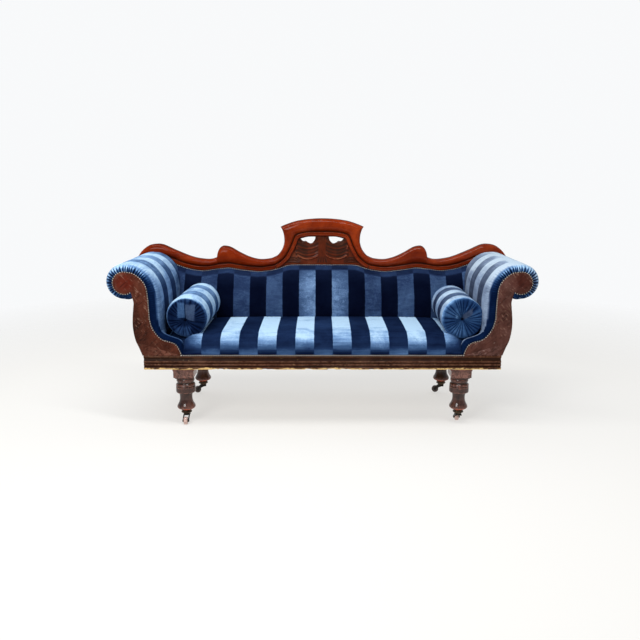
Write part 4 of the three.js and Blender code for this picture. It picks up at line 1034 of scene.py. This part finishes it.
BACK_PROFILE = [(0, 0.95), (0.08, 0.985), (0.16, 1), (0.27, 0.965), (0.37, 0.9), (0.46, 0.838), (0.55, 0.77),
                (0.67, 0.668), (0.78, 0.56), (0.85, 0.482), (0.9, 0.42), (0.94, 0.35), (0.965, 0.27),
                (0.985, 0.18), (0.996, 0.1), (1, 0.03)]


def back_padding():
    """The padding's rows and tones. Under the crest, a band has the stripes' tones swapped as painted sheen
    """
    profile = smooth_line(BACK_PROFILE, 4) + [(up, 0.0) for up in np.linspace(0.98, 0.02, 12)]
    rows, across, dark_stripe, light_stripe = [], [], [], []
    for x in np.linspace(-BACK_HALF, BACK_HALF, 210):
        top = underside_at(x)
        bottom = PAD_BOTTOM - 8 * (abs(x) / BACK_HALF) ** 4
        centre = math.exp(-((x - 5) / 135) ** 2)
        row = []
        for up, depth in profile:
            z = bottom + up * (top - 1 - bottom)
            puff = 1.6 * noise.noise((x * 0.007, z * 0.01, 4.4)) * min(1, depth * 2)
            row.append((x, post_front(z) - 0.5 - depth * PAD_FULLNESS - puff, z))
            across.append(x - STRIPE_START)
            # Painted sheen: the light stripes lighter in the middle, the dark ones lighter towards the top,
            # and the two swapped in the band under the crest
            band = 1 - ramp(top - z, 18, 29)
            light = 0.45 + 0.24 * centre * (1 - 0.3 * up) + 0.03 * x / 700
            light += 0.04 * noise.noise((x * 0.01, z * 0.01, 6.2))
            light_stripe.append(light * (1 - band) + 0.25 * band)
            dark_stripe.append((0.02 + 0.14 * ramp(up, 0.6, 1.0)) * (1 - band) + 0.35 * band)
        rows.append(row)
    return rows, across, dark_stripe, light_stripe


back_rows, *back_tones = back_padding()
back_mesh = swept("back_padding", back_rows, 180)
paint_velvet(back_mesh, *back_tones, 0.12)
back = show(back_mesh, BACK_VELVET, stands_for=["back_upholstery"])
stuffed(back, [v.index for v in back_mesh.vertices
               if v.co.y > 0.24 or abs(v.co.x) > 0.8 or v.co.z < 0.47
               or v.co.z > underside_at(v.co.x * 1000) * 0.001 - 0.012])


# Outside back cover
# Blue cotton stretched over the posts, from the back rail up to the crest, and nailed at its edges.
SHEET_HALF, SHEET_BEND = 835, 361
SHEET_FOOT = [(286.6, 334.9), (286.6, 347)]
SHEET_GAP = 32.2
back_cover_rows = []
for x in np.linspace(-SHEET_HALF, SHEET_HALF, 90):
    top = underside_at(x) - 0.4
    row = [(x, y, z) for y, z in SHEET_FOOT]
    for z in np.linspace(SHEET_BEND, top, 26):
        slack = ramp(min(z - SHEET_BEND, top - z, SHEET_HALF - abs(x)), 0, 60)
        slack *= 1.4 + 0.8 * noise.noise((x * 0.006, z * 0.008, 1.1))
        row.append((x, post_front(z) + SHEET_GAP - slack, z))
    back_cover_rows.append(row)
back_cover = thin_cloth("outside_back_sheet", back_cover_rows, "outside_back_cover")


# The crest rails
# Two carved mahogany rails run from the pediment out over the arms. Each has a full moulding over a
# groove and a thin bead, and an ear where the inner swag rises over the outer sweep.
CREST_FRONT = 280
CREST_THICK = 50
BEAD_HEIGHT = 26
SWEEP_TOP = [(1, 0.205), (0.975, 0.31), (0.929, 0.411), (0.878, 0.45), (0.82, 0.438), (0.733, 0.322),
             (0.625, 0.19), (0.552, 0.136), (0.478, 0.12), (0.427, 0.159)]
EAR_TOP = [(0.426, 0.18), (0.424, 0.25), (0.412, 0.334), (0.391, 0.395), (0.366, 0.411), (0.322, 0.38),
           (0.256, 0.267), (0.184, 0.167), (0.111, 0.116), (0.037, 0.132), (0, 0.171)]
BEAD_ZONE = [(0, 0.26), (0.08, 0.2), (0.2, 0.18), (0.42, 0.185), (0.54, 0.17), (0.62, 0.115), (0.72, 0.09),
             (0.82, 0.11), (0.9, 0.17), (0.96, 0.25), (1, 0.29)]
MOULDING_ZONE = [(0.025, 0.275), (0.06, 0.2), (0.12, 0.12), (0.2, 0.06), (0.3, 0.018), (0.42, 0),
                 (0.54, 0.006), (0.65, 0.035), (0.75, 0.085), (0.83, 0.15), (0.9, 0.235), (0.95, 0.34),
                 (0.985, 0.46), (1, 0.6), (0.985, 0.78), (0.94, 0.93), (0.9, 1)]
CREST_GRAIN = dict(dark=(0.11, 0.009, 0.001), middle=(0.25, 0.024, 0.002), light=(0.38, 0.056, 0.012),
                   bare=(0.5, 0.2, 0.1))
# The left rail is the same wood painted darker and given less coat: painted shade, as the light falls more on
# the right rail
LEFT_CREST_WOOD = wood_material("Red mahogany crest in painted shade", (1, 7, 7), dark=(0.09, 0.007, 0.001),
                                middle=(0.21, 0.018, 0.0015), light=(0.32, 0.042, 0.008),
                                bare=(0.5, 0.2, 0.1), wear=0.5, chips=0.08, gloss=0.14, coat=0.13)
RIGHT_CREST_WOOD = wood_material("Red mahogany crest", (1, 7, 7), **CREST_GRAIN, wear=0.5, chips=0.08,
                                 gloss=0.14, coat=0.32)
# Edge values of the crest's lines from its foot up: dirt below the bead, a painted highlight on the bead,
# painted shade in the groove under the moulding, a lighter lip, and painted shade along the moulding's top
FOOT_SHADES = (0.2, 0.24, 0.4, 0.82, 1.0, 0.9, 0.6, 0.36, 0.2, 0.1, 0.05, 0.08, 0.3, 0.6)
CREST_SHADES = {**dict(enumerate(FOOT_SHADES)), 22: 0.4, 23: 0.26, 24: 0.2}


def shade_lines(mesh, row_length, shades):
    """Sets the edge value of some lines of a swept moulding: dirt, painted shade and a painted highlight
    along them
    """
    tones = numbers(mesh.attributes["edge"].data, "value", 1, np.float32).ravel()
    for line, shade in shades.items():
        tones[line::row_length] = shade
    paint(mesh, "edge", tones)


def section_between(top, bottom, shares):
    """One row of a moulding, from [share of the way up, share of the thickness] pairs"""
    return [(bottom[0] + up * (top[0] - bottom[0]), CREST_FRONT + deep * CREST_THICK,
             bottom[1] + up * (top[1] - bottom[1])) for up, deep in shares]


def crest_row(top, bottom):
    height = math.hypot(top[0] - bottom[0], top[1] - bottom[1])
    bead = min(BEAD_HEIGHT, height * 0.4) / height
    moulding = [(bead + up * (1 - bead), deep) for up, deep in MOULDING_ZONE]
    return section_between(top, bottom, [*((up * bead, deep) for up, deep in BEAD_ZONE), *moulding, (0, 1)])


crest_top = sorted([*smooth_line(on_crest(SWEEP_TOP), 9), *smooth_line(on_crest(EAR_TOP), 10)])
crest_top_x, crest_top_z = zip(*crest_top)
crest_places = sorted({round(x, 2) for x in [*crest_top_x, *np.linspace(JOINT, CREST_TIP, 150)]})
crest_rows = [crest_row((x, float(np.interp(x, crest_top_x, crest_top_z))), (x, underside_at(x)))
              for x in crest_places]
for side, wood in (("left", LEFT_CREST_WOOD), ("right", RIGHT_CREST_WOOD)):
    crest = swept(f"{side}_crest_rail", crest_rows, 60, HANDS[side])
    paint_edges(crest, 5)
    shade_lines(crest, len(crest_rows[0]), CREST_SHADES)
    show(crest, wood, stands_for=[f"crest_{side}"])


# The pediment
# A thick arched moulding rises from the swags in two coves to sharp corners, with the same groove and
# bead inside it. Each of its pairs is a point on the outer edge and the one that faces it on the inner.
PEDIMENT_HALF = 233
PEDIMENT_PAIRS = [(1.137, 0.171, 1.137, 0), (1.064, 0.213, 1.017, 0.066), (0.966, 0.333, 0.893, 0.174),
                  (0.918, 0.465, 0.82, 0.283), (0.914, 0.562, 0.755, 0.395), (0.927, 0.659, 0.708, 0.496),
                  (0.961, 0.756, 0.67, 0.581), (1, 0.818, 0.631, 0.632), (0.888, 0.864, 0.579, 0.663),
                  (0.648, 0.938, 0.459, 0.694), (0.408, 0.977, 0.292, 0.713), (0.172, 0.996, 0.129, 0.717),
                  (0, 1, 0, 0.717)]
CORNER = 7


def on_pediment(out, up):
    return (out * PEDIMENT_HALF, TRIM_LEVEL + up * CREST_RISE)


def flip(point):
    return -point[0], point[1]


def both_halves(line):
    """A line from the right to the middle, carried on to the left"""
    return [*line, *[flip(point) for point in line[-2::-1]]]


PEDIMENT_WOOD = wood_material("Red mahogany arch", (2, 6, 4), **CREST_GRAIN, wear=0.5, chips=0.08, gloss=0.14,
                              coat=0.2)
outer_pediment = [on_pediment(a, b) for a, b, _, _ in PEDIMENT_PAIRS]
outer_pediment = smooth_line(outer_pediment[:CORNER + 1], 8)[:-1] + smooth_line(outer_pediment[CORNER:], 8)
inner_pediment = smooth_line([on_pediment(c, d) for _, _, c, d in PEDIMENT_PAIRS], 8)
arch_rows = [section_between(outer, inner, [*MOULDING_ZONE, (0, 1)])
             for outer, inner in zip(both_halves(outer_pediment), both_halves(inner_pediment))]
pediment_mesh = swept("arched_pediment", arch_rows, 60)
paint_edges(pediment_mesh, 5)
# Painted shade in the moulding's groove and along its top, as on the crest rails
shade_lines(pediment_mesh, len(arch_rows[0]),
            {line - len(BEAD_ZONE): shade for line, shade in CREST_SHADES.items() if line >= len(BEAD_ZONE)})
show(pediment_mesh, PEDIMENT_WOOD, stands_for=["crest_pediment"])


# The pierced panel
# A thinner carved board fills the arch, beaded along its edge. Two eyes are sawn through it, scalloped
# below, and under each hangs a swag. Its hollows are painted dark as shade and its ridges painted
# lighter as a highlight.
PANEL_FRONT, PANEL_BACK = 296.4, 314.8
PANEL_GROUND = 6.5
PANEL_STEP = 1.9
PANEL_ACROSS, PANEL_UP = (-263, 263.1), (701, 917)
MOST_RELIEF = 5.8
BEAD_BACK = 303.5
BEAD_TUCK = 4
EYE_RIM = [(0.519, 0.562), (0.46, 0.508), (0.39, 0.508), (0.34, 0.477), (0.266, 0.457), (0.206, 0.496),
           (0.172, 0.55), (0.163, 0.605), (0.34, 0.601)]
SWAG_MIDDLE = 80
SWAG_FOLDS = [(837, 1.8, 24), (818, 2.4, 17), (798, 1.6, 24), (781, 2.4, 18), (760, 4.8, 21)]
EYE_LIPS = ((3.6, 3.0), (10.0, 2.4))
PANEL_WOOD = wood_material("Carved mahogany panel", (4, 6, 2), dark=(0.06, 0.012, 0.004),
                           middle=(0.15, 0.024, 0.008), light=(0.36, 0.12, 0.06), bare=(0.4, 0.2, 0.1),
                           wear=1.0, chips=0.1, gloss=0.2, coat=0.2)


def carving(x, z, rim_gap):
    """How far the carving stands proud of the panel's ground, and its edge value: painted shade in the
    hollows and a painted highlight on the ridges
    """
    out = abs(x)
    off_middle = abs(out - SWAG_MIDDLE)
    bow = (off_middle / 60) ** 2
    fade = 1 - ramp(off_middle, 55, 65)
    height = 0.0
    for low, rise, dip in SWAG_FOLDS:
        far = z - low - dip * bow
        height = max(height, rise * fade * math.exp(-(far / (8.0 if far > 0 else 2.4)) ** 2))
    hollow = (0.6 + 0.3 * (out > SWAG_MIDDLE)) * fade * (ramp(z - 21 * bow, 752, 760) * ramp(858 - z, 0, 8))
    strip = ramp(out, 132, 138) * ramp(152 - out, 0, 5) * ramp(z, 764, 774) * ramp(846 - z, 0, 8)
    height = max(height, 1.4 * strip * (1 + math.sin(z / 3.6)))
    below_eye_top = ramp(886 - z, 0, 10)
    for place, rise in EYE_LIPS:
        height = max(height, rise * math.exp(-((rim_gap - place) / 2.2) ** 2) * below_eye_top)
    hollow = max(hollow, strip, (1 - ramp(rim_gap, 12, 18)) * below_eye_top)
    leaf = math.hypot((out - 143) / 7, (z - 832) / 13)
    height = max(height, 4.0 * max(0.0, 1 - leaf * leaf))
    ripples = ramp(out, 112, 136) * ramp(778 - z, 0, 10) * ramp(z, 736, 744)
    wave = math.sin((z + 0.22 * out + 3 * math.sin(out / 11)) / 9.4 * math.tau)
    height = max(height, 2.8 * ripples * max(0.0, wave))
    fan = ramp(36 - out, 0, 12) * ramp(788 - z, 0, 26) * ramp(z, 738, 744)
    height = max(height, 2.2 * fan * (0.5 + 0.5 * math.cos(math.atan2(x, 830 - z) * 36)))
    hollow = max(hollow, 1 - ramp(leaf, 1.0, 1.5), ripples, 0.7 * fan)
    column = 1.6 * math.exp(-(out / 12) ** 2) * ramp(z, 762, 790) * (1 - ramp(z, 872, 884))
    cap = 2.8 * math.exp(-(((out - 13) / 9) ** 2 + ((z - 884) / 5) ** 2))
    height = min(MOST_RELIEF, height + max(column, cap) * (height < 1.2))
    # In a hollow, low relief is painted darker as shade and high relief lighter as a highlight
    return height, min(0.9, max(0.0, 0.5 + hollow * (0.15 * height - 0.4)))


def loop_gap(loop, spots):
    """How far each spot is from a loop, above nought inside it and below nought outside"""
    x, z = np.asarray(spots, float).T
    inside = np.zeros(len(x), bool)
    gap = np.full(len(x), 1e9)
    for (x1, z1), (x2, z2) in zip(loop, [*loop[1:], loop[0]]):
        dx, dz = x2 - x1, z2 - z1
        inside ^= ((z1 > z) != (z2 > z)) & (x < dx * (z - z1) / (dz + 1e-12) + x1)
        share = np.clip(((x - x1) * dx + (z - z1) * dz) / (dx * dx + dz * dz + 1e-12), 0, 1)
        gap = np.minimum(gap, np.hypot(x1 + share * dx - x, z1 + share * dz - z))
    return np.where(inside, gap, -gap)


def on_board(outline, holes, spots, margin):
    """Which spots lie on the board, and further than a margin from all its edges"""
    clear = [loop_gap(rim, spots) < -margin for rim in holes]
    return np.all([loop_gap(outline, spots) > margin, *clear], axis=0)


def carved_panel():
    """The panel with its eyes and carving, and the painted shade and highlight at each of its points"""
    shoulder = inner_pediment[0][1]
    within = [(x, z) for x, z in inner_pediment if x < JOINT - 0.4]
    base = [(x, underside_at(x) + 0.1) for x in np.linspace(-JOINT, JOINT, 110)]
    outline = [(JOINT, shoulder), *both_halves(within), (-JOINT, shoulder), *base]
    holes = []
    for sign in SIGNS.values():
        rim = [on_pediment(sign * out, up) for out, up in EYE_RIM]
        holes.append(smooth_line(rim[:8], 5)[:-1] + smooth_line([rim[7], rim[8], rim[0]], 6)[:-1])
    points, edges = [], []
    for loop in (outline, *holes):
        edges += [(len(points) + i, len(points) + (i + 1) % len(loop)) for i in range(len(loop))]
        points += loop
    grid = [(x, z) for x in np.arange(*PANEL_ACROSS, PANEL_STEP) for z in np.arange(*PANEL_UP, PANEL_STEP)]
    points += [spot for spot, fits in zip(grid, on_board(outline, holes, grid, 1)) if fits]
    flat, _, triangles, *_ = geometry.delaunay_2d_cdt([Vector(point) for point in points], edges, [], 0, 1e-4)
    middles = [(sum(flat[i].x for i in three) / 3, sum(flat[i].y for i in three) / 3) for three in triangles]
    kept = [list(three) for three, fits in zip(triangles, on_board(outline, holes, middles, 0)) if fits]
    spots = [(v.x, v.y) for v in flat]
    rim_gap = np.min([-loop_gap(rim, spots) for rim in holes], axis=0)
    heights, tones = zip(*(carving(x, z, gap) for (x, z), gap in zip(spots, rim_gap)))
    front = [(x, PANEL_FRONT + PANEL_GROUND - height, z) for (x, z), height in zip(spots, heights)]
    count = len(flat)
    faces = [three[::-1] for three in kept] + [[i + count for i in three] for three in kept]
    sides = {(a, b) for three in kept for a, b in zip(three, three[1:] + three[:1])}
    faces += [[a, b, b + count, a + count] for a, b in sides if (b, a) not in sides]
    return (front + [(x, PANEL_BACK, z) for x, z in spots], faces), [*tones, *[0.5] * count]


def panel_bead():
    """The bead and its hollows, swept along the arch's inside and down both coves"""
    line = np.array(both_halves(inner_pediment), float)
    ways = np.gradient(line, axis=0)
    ways /= np.linalg.norm(ways, axis=1)[:, None]
    section = [((1 - share) * BEAD_HEIGHT, CREST_FRONT + deep * CREST_THICK) for share, deep in BEAD_ZONE]
    section += [(-BEAD_TUCK, section[-1][1] + 1), (-BEAD_TUCK, BEAD_BACK)]
    section.insert(0, (BEAD_HEIGHT, BEAD_BACK))
    return [[(x - inwards * way_z, y, z + inwards * way_x) for inwards, y in section]
            for (x, z), (way_x, way_z) in zip(line, ways)]


panel_part, panel_tones = carved_panel()
panel_mesh = new_mesh("carved_panel", [panel_part], sharp=50)
paint(panel_mesh, "edge", panel_tones)
show(panel_mesh, PANEL_WOOD, stands_for=["pierced_panel"])
bead_rows = panel_bead()
bead_mesh = swept("panel_bead", bead_rows, 50)
paint_edges(bead_mesh, 6)
# A painted highlight on the bead and painted shade in its hollows, as on the crest rails
shade_lines(bead_mesh, len(bead_rows[0]),
            {line + 1: shade for line, shade in CREST_SHADES.items() if line < len(BEAD_ZONE)})
show(bead_mesh, PEDIMENT_WOOD)


# Close nailing
# Small round nails over a narrow braid hold the velvet along each facing, along the front rail and
# under the crest. They are a little over a head's width apart.
NAIL_SPACING = 0.0112
HEAD_HEIGHT = 0.0018
BRAID_WIDTH, BRAID_THICKNESS = 0.0068, 0.0011
SMALL_HEAD, LARGE_HEAD = 0.0025, 0.0027
FACING_NAILS_Y = -326.5
SEAT_NAILS_HALF, SEAT_NAILS_Y, SEAT_NAILS_Z = 686, -331.2, 362.2
CREST_NAILS_HALF, CREST_NAILS_Y = 855, 282
NAIL_INSET = 1.6
BRAID = plain_material("Dark braid", (0.011, 0.011, 0.016), 0.85, 70, 0.3, 0.7, 900)
NAIL_METAL = plain_material("Dulled nail heads", (0.7, 0.63, 0.54), 0.42, 160, 0.25, 0.3, 600, metallic=0.2)


def nail_tree():
    """A modifier that sets domed heads at even steps along a line, over a flat braid"""
    def finished(shape, finish):
        return node(tree, "GeometryNodeSetMaterial", {"Geometry": shape, "Material": finish}).outputs[0]

    tree = bpy.data.node_groups.new("Close nailing", "GeometryNodeTree")
    for name, kind in (("Geometry", "Geometry"), ("Spacing", "Float"), ("Head radius", "Float"),
                       ("Head height", "Float"), ("Braid width", "Float"), ("Braid thickness", "Float"),
                       ("Head finish", "Material"), ("Braid finish", "Material")):
        tree.interface.new_socket(name, in_out="INPUT", socket_type=f"NodeSocket{kind}")
    tree.interface.new_socket("Geometry", in_out="OUTPUT", socket_type="NodeSocketGeometry")
    given = tree.nodes.new("NodeGroupInput").outputs
    curve = node(tree, "GeometryNodeMeshToCurve", {0: given["Geometry"]}).outputs[0]
    even = node(tree, "GeometryNodeResampleCurve", {"Curve": curve, "Length": given["Spacing"]},
                mode="LENGTH").outputs[0]
    ball = node(tree, "GeometryNodeMeshUVSphere", {"Segments": 8, "Rings": 5, "Radius": given["Head radius"]})
    domed = maths(tree, "DIVIDE", given["Head height"], given["Head radius"])
    domed = node(tree, "ShaderNodeCombineXYZ", {0: 1.0, 1: domed, 2: 1.0}).outputs[0]
    heads = node(tree, "GeometryNodeInstanceOnPoints",
                 {"Points": even, "Instance": ball.outputs[0], "Scale": domed}).outputs[0]
    heads = finished(node(tree, "GeometryNodeRealizeInstances", {0: heads}).outputs[0], given["Head finish"])
    section = node(tree, "GeometryNodeCurvePrimitiveQuadrilateral",
                   {"Width": given["Braid thickness"], "Height": given["Braid width"]}).outputs[0]
    band = node(tree, "GeometryNodeCurveToMesh",
                {"Curve": even, "Profile Curve": section, "Fill Caps": True}).outputs[0]
    band = finished(band, given["Braid finish"])
    both = tree.nodes.new("GeometryNodeJoinGeometry")
    for made in (band, heads):
        tree.links.new(made, both.inputs[0])
    tree.links.new(both.outputs[0], tree.nodes.new("NodeGroupOutput").inputs[0])
    return tree


NAILING = nail_tree()


def nailed_line(name, points, head):
    """Nails and braid along points in millimetres, with heads of a radius in metres"""
    line = bpy.data.meshes.new(name)
    line.from_pydata([tuple(value * 0.001 for value in point) for point in points],
                     [(i, i + 1) for i in range(len(points) - 1)], [])
    carrier = placed_object(name, line)
    maker = carrier.modifiers.new("nailing", "NODES")
    maker.node_group = NAILING
    values = {"Spacing": NAIL_SPACING, "Head radius": head, "Head height": HEAD_HEIGHT,
              "Braid width": BRAID_WIDTH, "Braid thickness": BRAID_THICKNESS, "Head finish": NAIL_METAL,
              "Braid finish": BRAID}
    for socket in NAILING.interface.items_tree:
        if socket.name in values:
            maker[socket.identifier] = values[socket.name]
    made = bpy.data.meshes.new_from_object(carrier.evaluated_get(bpy.context.evaluated_depsgraph_get()))
    made.name = name
    bpy.data.objects.remove(carrier)
    made.shade_smooth()
    made.set_sharp_from_angle(angle=math.radians(50))
    piece = placed_object(name, made)
    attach(piece, "settee")


facing_nails = beside([*eye_arc[2:], *inner_line, *foot_line[1:]], NAIL_INSET)
for side, sign in SIGNS.items():
    places = [(sign * (RAIL_END + out), FACING_NAILS_Y, ARM_BASE + up) for out, up in facing_nails]
    nailed_line(f"{side}_facing_nails", places, SMALL_HEAD)
nailed_line("seat_nails", [(x, SEAT_NAILS_Y, SEAT_NAILS_Z)
                           for x in np.linspace(-SEAT_NAILS_HALF, SEAT_NAILS_HALF, 200)], LARGE_HEAD)
nailed_line("crest_nails", [(x, CREST_NAILS_Y, underside_at(x) - 1.4)
                            for x in np.linspace(-CREST_NAILS_HALF, CREST_NAILS_HALF, 260)], LARGE_HEAD)


# The bolsters
# Two loose round cushions in the same velvet, stuffed hard. Each end is gathered in deep pleats to a
# drawn-in middle, where two folds of the left one and one of the right catch the light.
BOLSTER_RADIUS = 100
BOLSTER_LENGTH = 388
BOLSTER_BAND = 78
END_DEPTH = 24
END_PLEATS = 29
PLEAT_ROUND = 99
BOLSTER_LIE = {"left": (-2.8, -6, -4, 9), "right": (0.0, 8, -12, 7)}
BOLSTER_EYE = {"left": (-9.5, -20), "right": (-1, -6)}
BOLSTER_END = [(0.02, 1.0), (0.05, 0.82), (0.1, 0.56), (0.17, 0.36), (0.26, 0.22), (0.37, 0.12),
               (0.49, 0.05), (0.61, 0.012), (0.72, 0.0), (0.81, 0.012), (0.885, 0.06), (0.94, 0.15),
               (0.972, 0.28), (0.992, 0.48), (1.0, 0.78)]
BOLSTER_VELVET = velvet_material("Bolster velvet", (30, 8, 30), rubbing=0.2, width=BOLSTER_BAND)


# How much each one tapers to its rear, and its painted light: how much darker its dark and its light
# stripes are painted, and how grey
BOLSTER_CAST = {"left": (2.5, 0, 0, 0.05), "right": (3.0, 0.16, 0.09, 0.24)}


def end_tone(sign, across, up, radius, turn, fold):
    """The painted tone and greyness of a gathered end at a place in mm from its middle, and how flat it lies:
    painted highlights on the flat folds and the rim, and painted shade in the creases
    """
    if sign < 0:
        tone = 0.19 + 0.07 * fold + 0.18 * ramp(up, 62, 84)
        left_flap = (ramp(74 - up, -2, 4) * ramp(across + 46 - up * 0.04, -3, 3)
                     * ramp(-9 - across + up * 0.02, -2, 2) * ramp(up, -9, -3))
        right_flap = (ramp(66 - up, -4, 6) * ramp(across + 5, -2, 2)
                      * ramp(40 - across + up * 0.1, -3, 3) * ramp(up + across * 0.25, -17, -11))
        flat = max(left_flap, right_flap)
        tone += (0.54 - tone) * left_flap + (0.47 - tone) * right_flap
        tone += (0.48 - tone) * ramp(-up, 38, 56) * ramp(24 - across, 0, 8) * ramp(across + 66, 0, 8)
        grey, crease, rim = 0.04 + 0.14 * right_flap, 0.34, 0.34 + 0.3 * math.sin(turn - 0.6)
    else:
        tone = 0.39 + 0.1 * fold + 0.06 * math.sin(3 * turn + 1) + 0.08 * ramp(-up, 30, 80)
        flat = (ramp(across + 2, 0, 3) * ramp(48 - across, 0, 3)
                * ramp(up - across * 0.75 + 14, 0, 3) * ramp(across * 0.75 + 22 - up, 0, 3))
        tone += (0.47 - tone) * flat
        tone += 0.26 * math.exp(-((across + 30) / 8) ** 2 - ((up - 8) / 12) ** 2)
        tone += 0.26 * math.exp(-((across - 12 - (up - 44) * 0.6) / 2.6) ** 2 - ((up - 44) / 20) ** 2)
        grey, crease, rim = 0.25 * flat, 0.26, 0.03 + 0.12 * math.cos(turn - 2.6)
    gathered = ramp(radius, 0.03, 0.16) * (1 - ramp(radius, 0.8, 0.96))
    tone -= crease * (1 - fold) ** 1.4 * (1 - 0.9 * flat) * gathered
    return tone * ramp(radius, 0.015, 0.09) + rim * ramp(radius, 0.88, 0.96), grey, flat


def bolster(side, sign):
    """The bolster's rows from its front end to its rear one, and each point's place and tones"""
    low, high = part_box(f"{side}_bolster")
    middle = (low + high) * 500
    turn_in, shift, sink, tilt = BOLSTER_LIE[side]
    cos, sin = math.cos(math.radians(turn_in)), math.sin(math.radians(turn_in))
    eye_x, eye_z = BOLSTER_EYE[side]
    taper, darker, dimmer, greyer = BOLSTER_CAST[side]
    end_line = smooth_line(BOLSTER_END, 2)
    rings = [(radius, deep * END_DEPTH, True) for radius, deep in end_line]
    rings += [(1.0, along, False) for along in np.linspace(26, BOLSTER_LENGTH - 26, 38)]
    rings += [(radius, BOLSTER_LENGTH - deep * END_DEPTH, True) for radius, deep in end_line[::-1]]
    turns = np.linspace(0, math.tau, 340, endpoint=False)
    waves = turns * PLEAT_ROUND + 8 * np.sin(3 * turns + sign) + 5 * np.sin(7 * turns)
    folds, strengths = pleats(waves, PLEAT_ROUND * math.tau / END_PLEATS, 4.0 + sign)
    rows, across, dark_stripe, light_stripe, grey = [], [], [], [], []
    for radius, along, end in rings:
        row = []
        near_front = along < BOLSTER_LENGTH / 2
        for turn, fold, strength in zip(turns, folds, strengths):
            slack = 0.01 * noise.noise((math.cos(turn), along * 0.01, math.sin(turn) + sign * 5))
            spread = (BOLSTER_RADIUS + taper * (1 - 2 * along / BOLSTER_LENGTH)) * radius * (1 + slack)
            right = spread * math.cos(turn) + eye_x * (1 - radius)
            up = spread * math.sin(turn) + eye_z * (1 - radius)
            # Painted sheen: both stripes lighter over the top, the light ones lighter on the inner side
            top = ramp(math.sin(turn), -0.1, 0.95)
            dark = 0.46 + 0.24 * top - darker
            light = 0.82 + 0.13 * top + 0.04 * ramp(-sign * math.cos(turn), -0.2, 0.9) - dimmer
            place, grey_now, crimp = along + BOLSTER_BAND / 2, greyer, 0.0
            if end:
                tone, grey_now, flat = end_tone(sign, right, up, radius, turn, fold)
                deepest = math.sin(math.pi * min(1.0, radius ** 0.8)) ** 0.6 if radius < 1 else 0.0
                crimp = (1 - fold) * strength * 6.5 * deepest * (1 - 0.8 * flat)
                share = ramp(along, 5, 14) if radius > 0.95 and near_front else 0.0
                place, dark = 0.0, tone * (1 - share) + light * share
                light = dark
            far = along - BOLSTER_LENGTH / 2 + (crimp if near_front else -crimp)
            row.append((middle.x + shift + right * cos - far * sin, middle.y + far * cos + right * sin,
                        middle.z + sink + up + tilt * far / 195))
            across.append(place)
            dark_stripe.append(dark)
            light_stripe.append(light)
            grey.append(grey_now)
        rows.append(row)
    return rows, across, dark_stripe, light_stripe, grey


for side, sign in SIGNS.items():
    rows, *tones = bolster(side, sign)
    mesh = swept(f"{side}_round_bolster", rows, 180)
    paint_velvet(mesh, *tones)
    cushion = show(mesh, BOLSTER_VELVET, f"{side}_bolster", [f"{side}_bolster"])


# Floor, light and camera
# A plain pale floor, wide soft lights from above, and a camera where the photograph was taken from.
floor_mesh = bpy.data.meshes.new("floor")
floor_mesh.from_pydata([(-14, -14, 0), (14, -14, 0), (14, 14, 0), (-14, 14, 0)], [], [(0, 1, 2, 3)])
floor_material, floor_tree, floor_shader, floor_place = new_material("Pale floor")
floor_reach = node(floor_tree, "ShaderNodeVectorMath", {0: floor_place}, operation="LENGTH").outputs["Value"]
plug(floor_tree, floor_shader, {
    "Base Color": (0.35, 0.345, 0.33, 1), "Roughness": 0.9, "Specular IOR Level": 0.0,
    "Emission Color": (1, 0.99, 0.97, 1), "Emission Strength": 0.56,
    "Alpha": ranged(floor_tree, floor_reach, 4.2, 2.0)})
floor_mesh.materials.append(floor_material)
floor = placed_object("floor", floor_mesh)

world = bpy.data.worlds.new("studio")
bpy.context.scene.world = world
world.use_nodes = True
sky = world.node_tree
heading = node(sky, "ShaderNodeTexCoord").outputs["Generated"]
heading = node(sky, "ShaderNodeSeparateXYZ", {0: heading}).outputs["Y"]
plug(sky, sky.nodes["Background"], {"Color": blended(
    sky, ranged(sky, heading, -0.3, 0.6), (0.36, 0.375, 0.4, 1), (0.94, 0.95, 0.96, 1))})
bpy.context.scene.view_settings.view_transform = "Standard"


def softbox(name, place, aim, size, power):
    light = bpy.data.lights.new(name, "AREA")
    light.shape = "RECTANGLE"
    light.size, light.size_y = size
    light.energy = power
    lamp = placed_object(name, light)
    lamp.location = place
    lamp.rotation_euler = (Vector(aim) - Vector(place)).to_track_quat("-Z", "Y").to_euler()


softbox("overhead", (-0.4, -0.9, 3.1), (0, 0.0, 0.4), (3.4, 0.3), 60)
softbox("window", (-1.6, -3.4, 2.6), (0, 0, 0.5), (1.6, 1.2), 70)

camera_data = bpy.data.cameras.new("camera")
camera_data.sensor_width = 36
camera_data.lens = 38.98
camera = placed_object("camera", camera_data)
camera.location = (-0.012, -3.6, 1.2036)
camera.rotation_euler = (math.radians(78.5), 0, 0)
bpy.context.scene.camera = camera

bpy.context.view_layer.update()
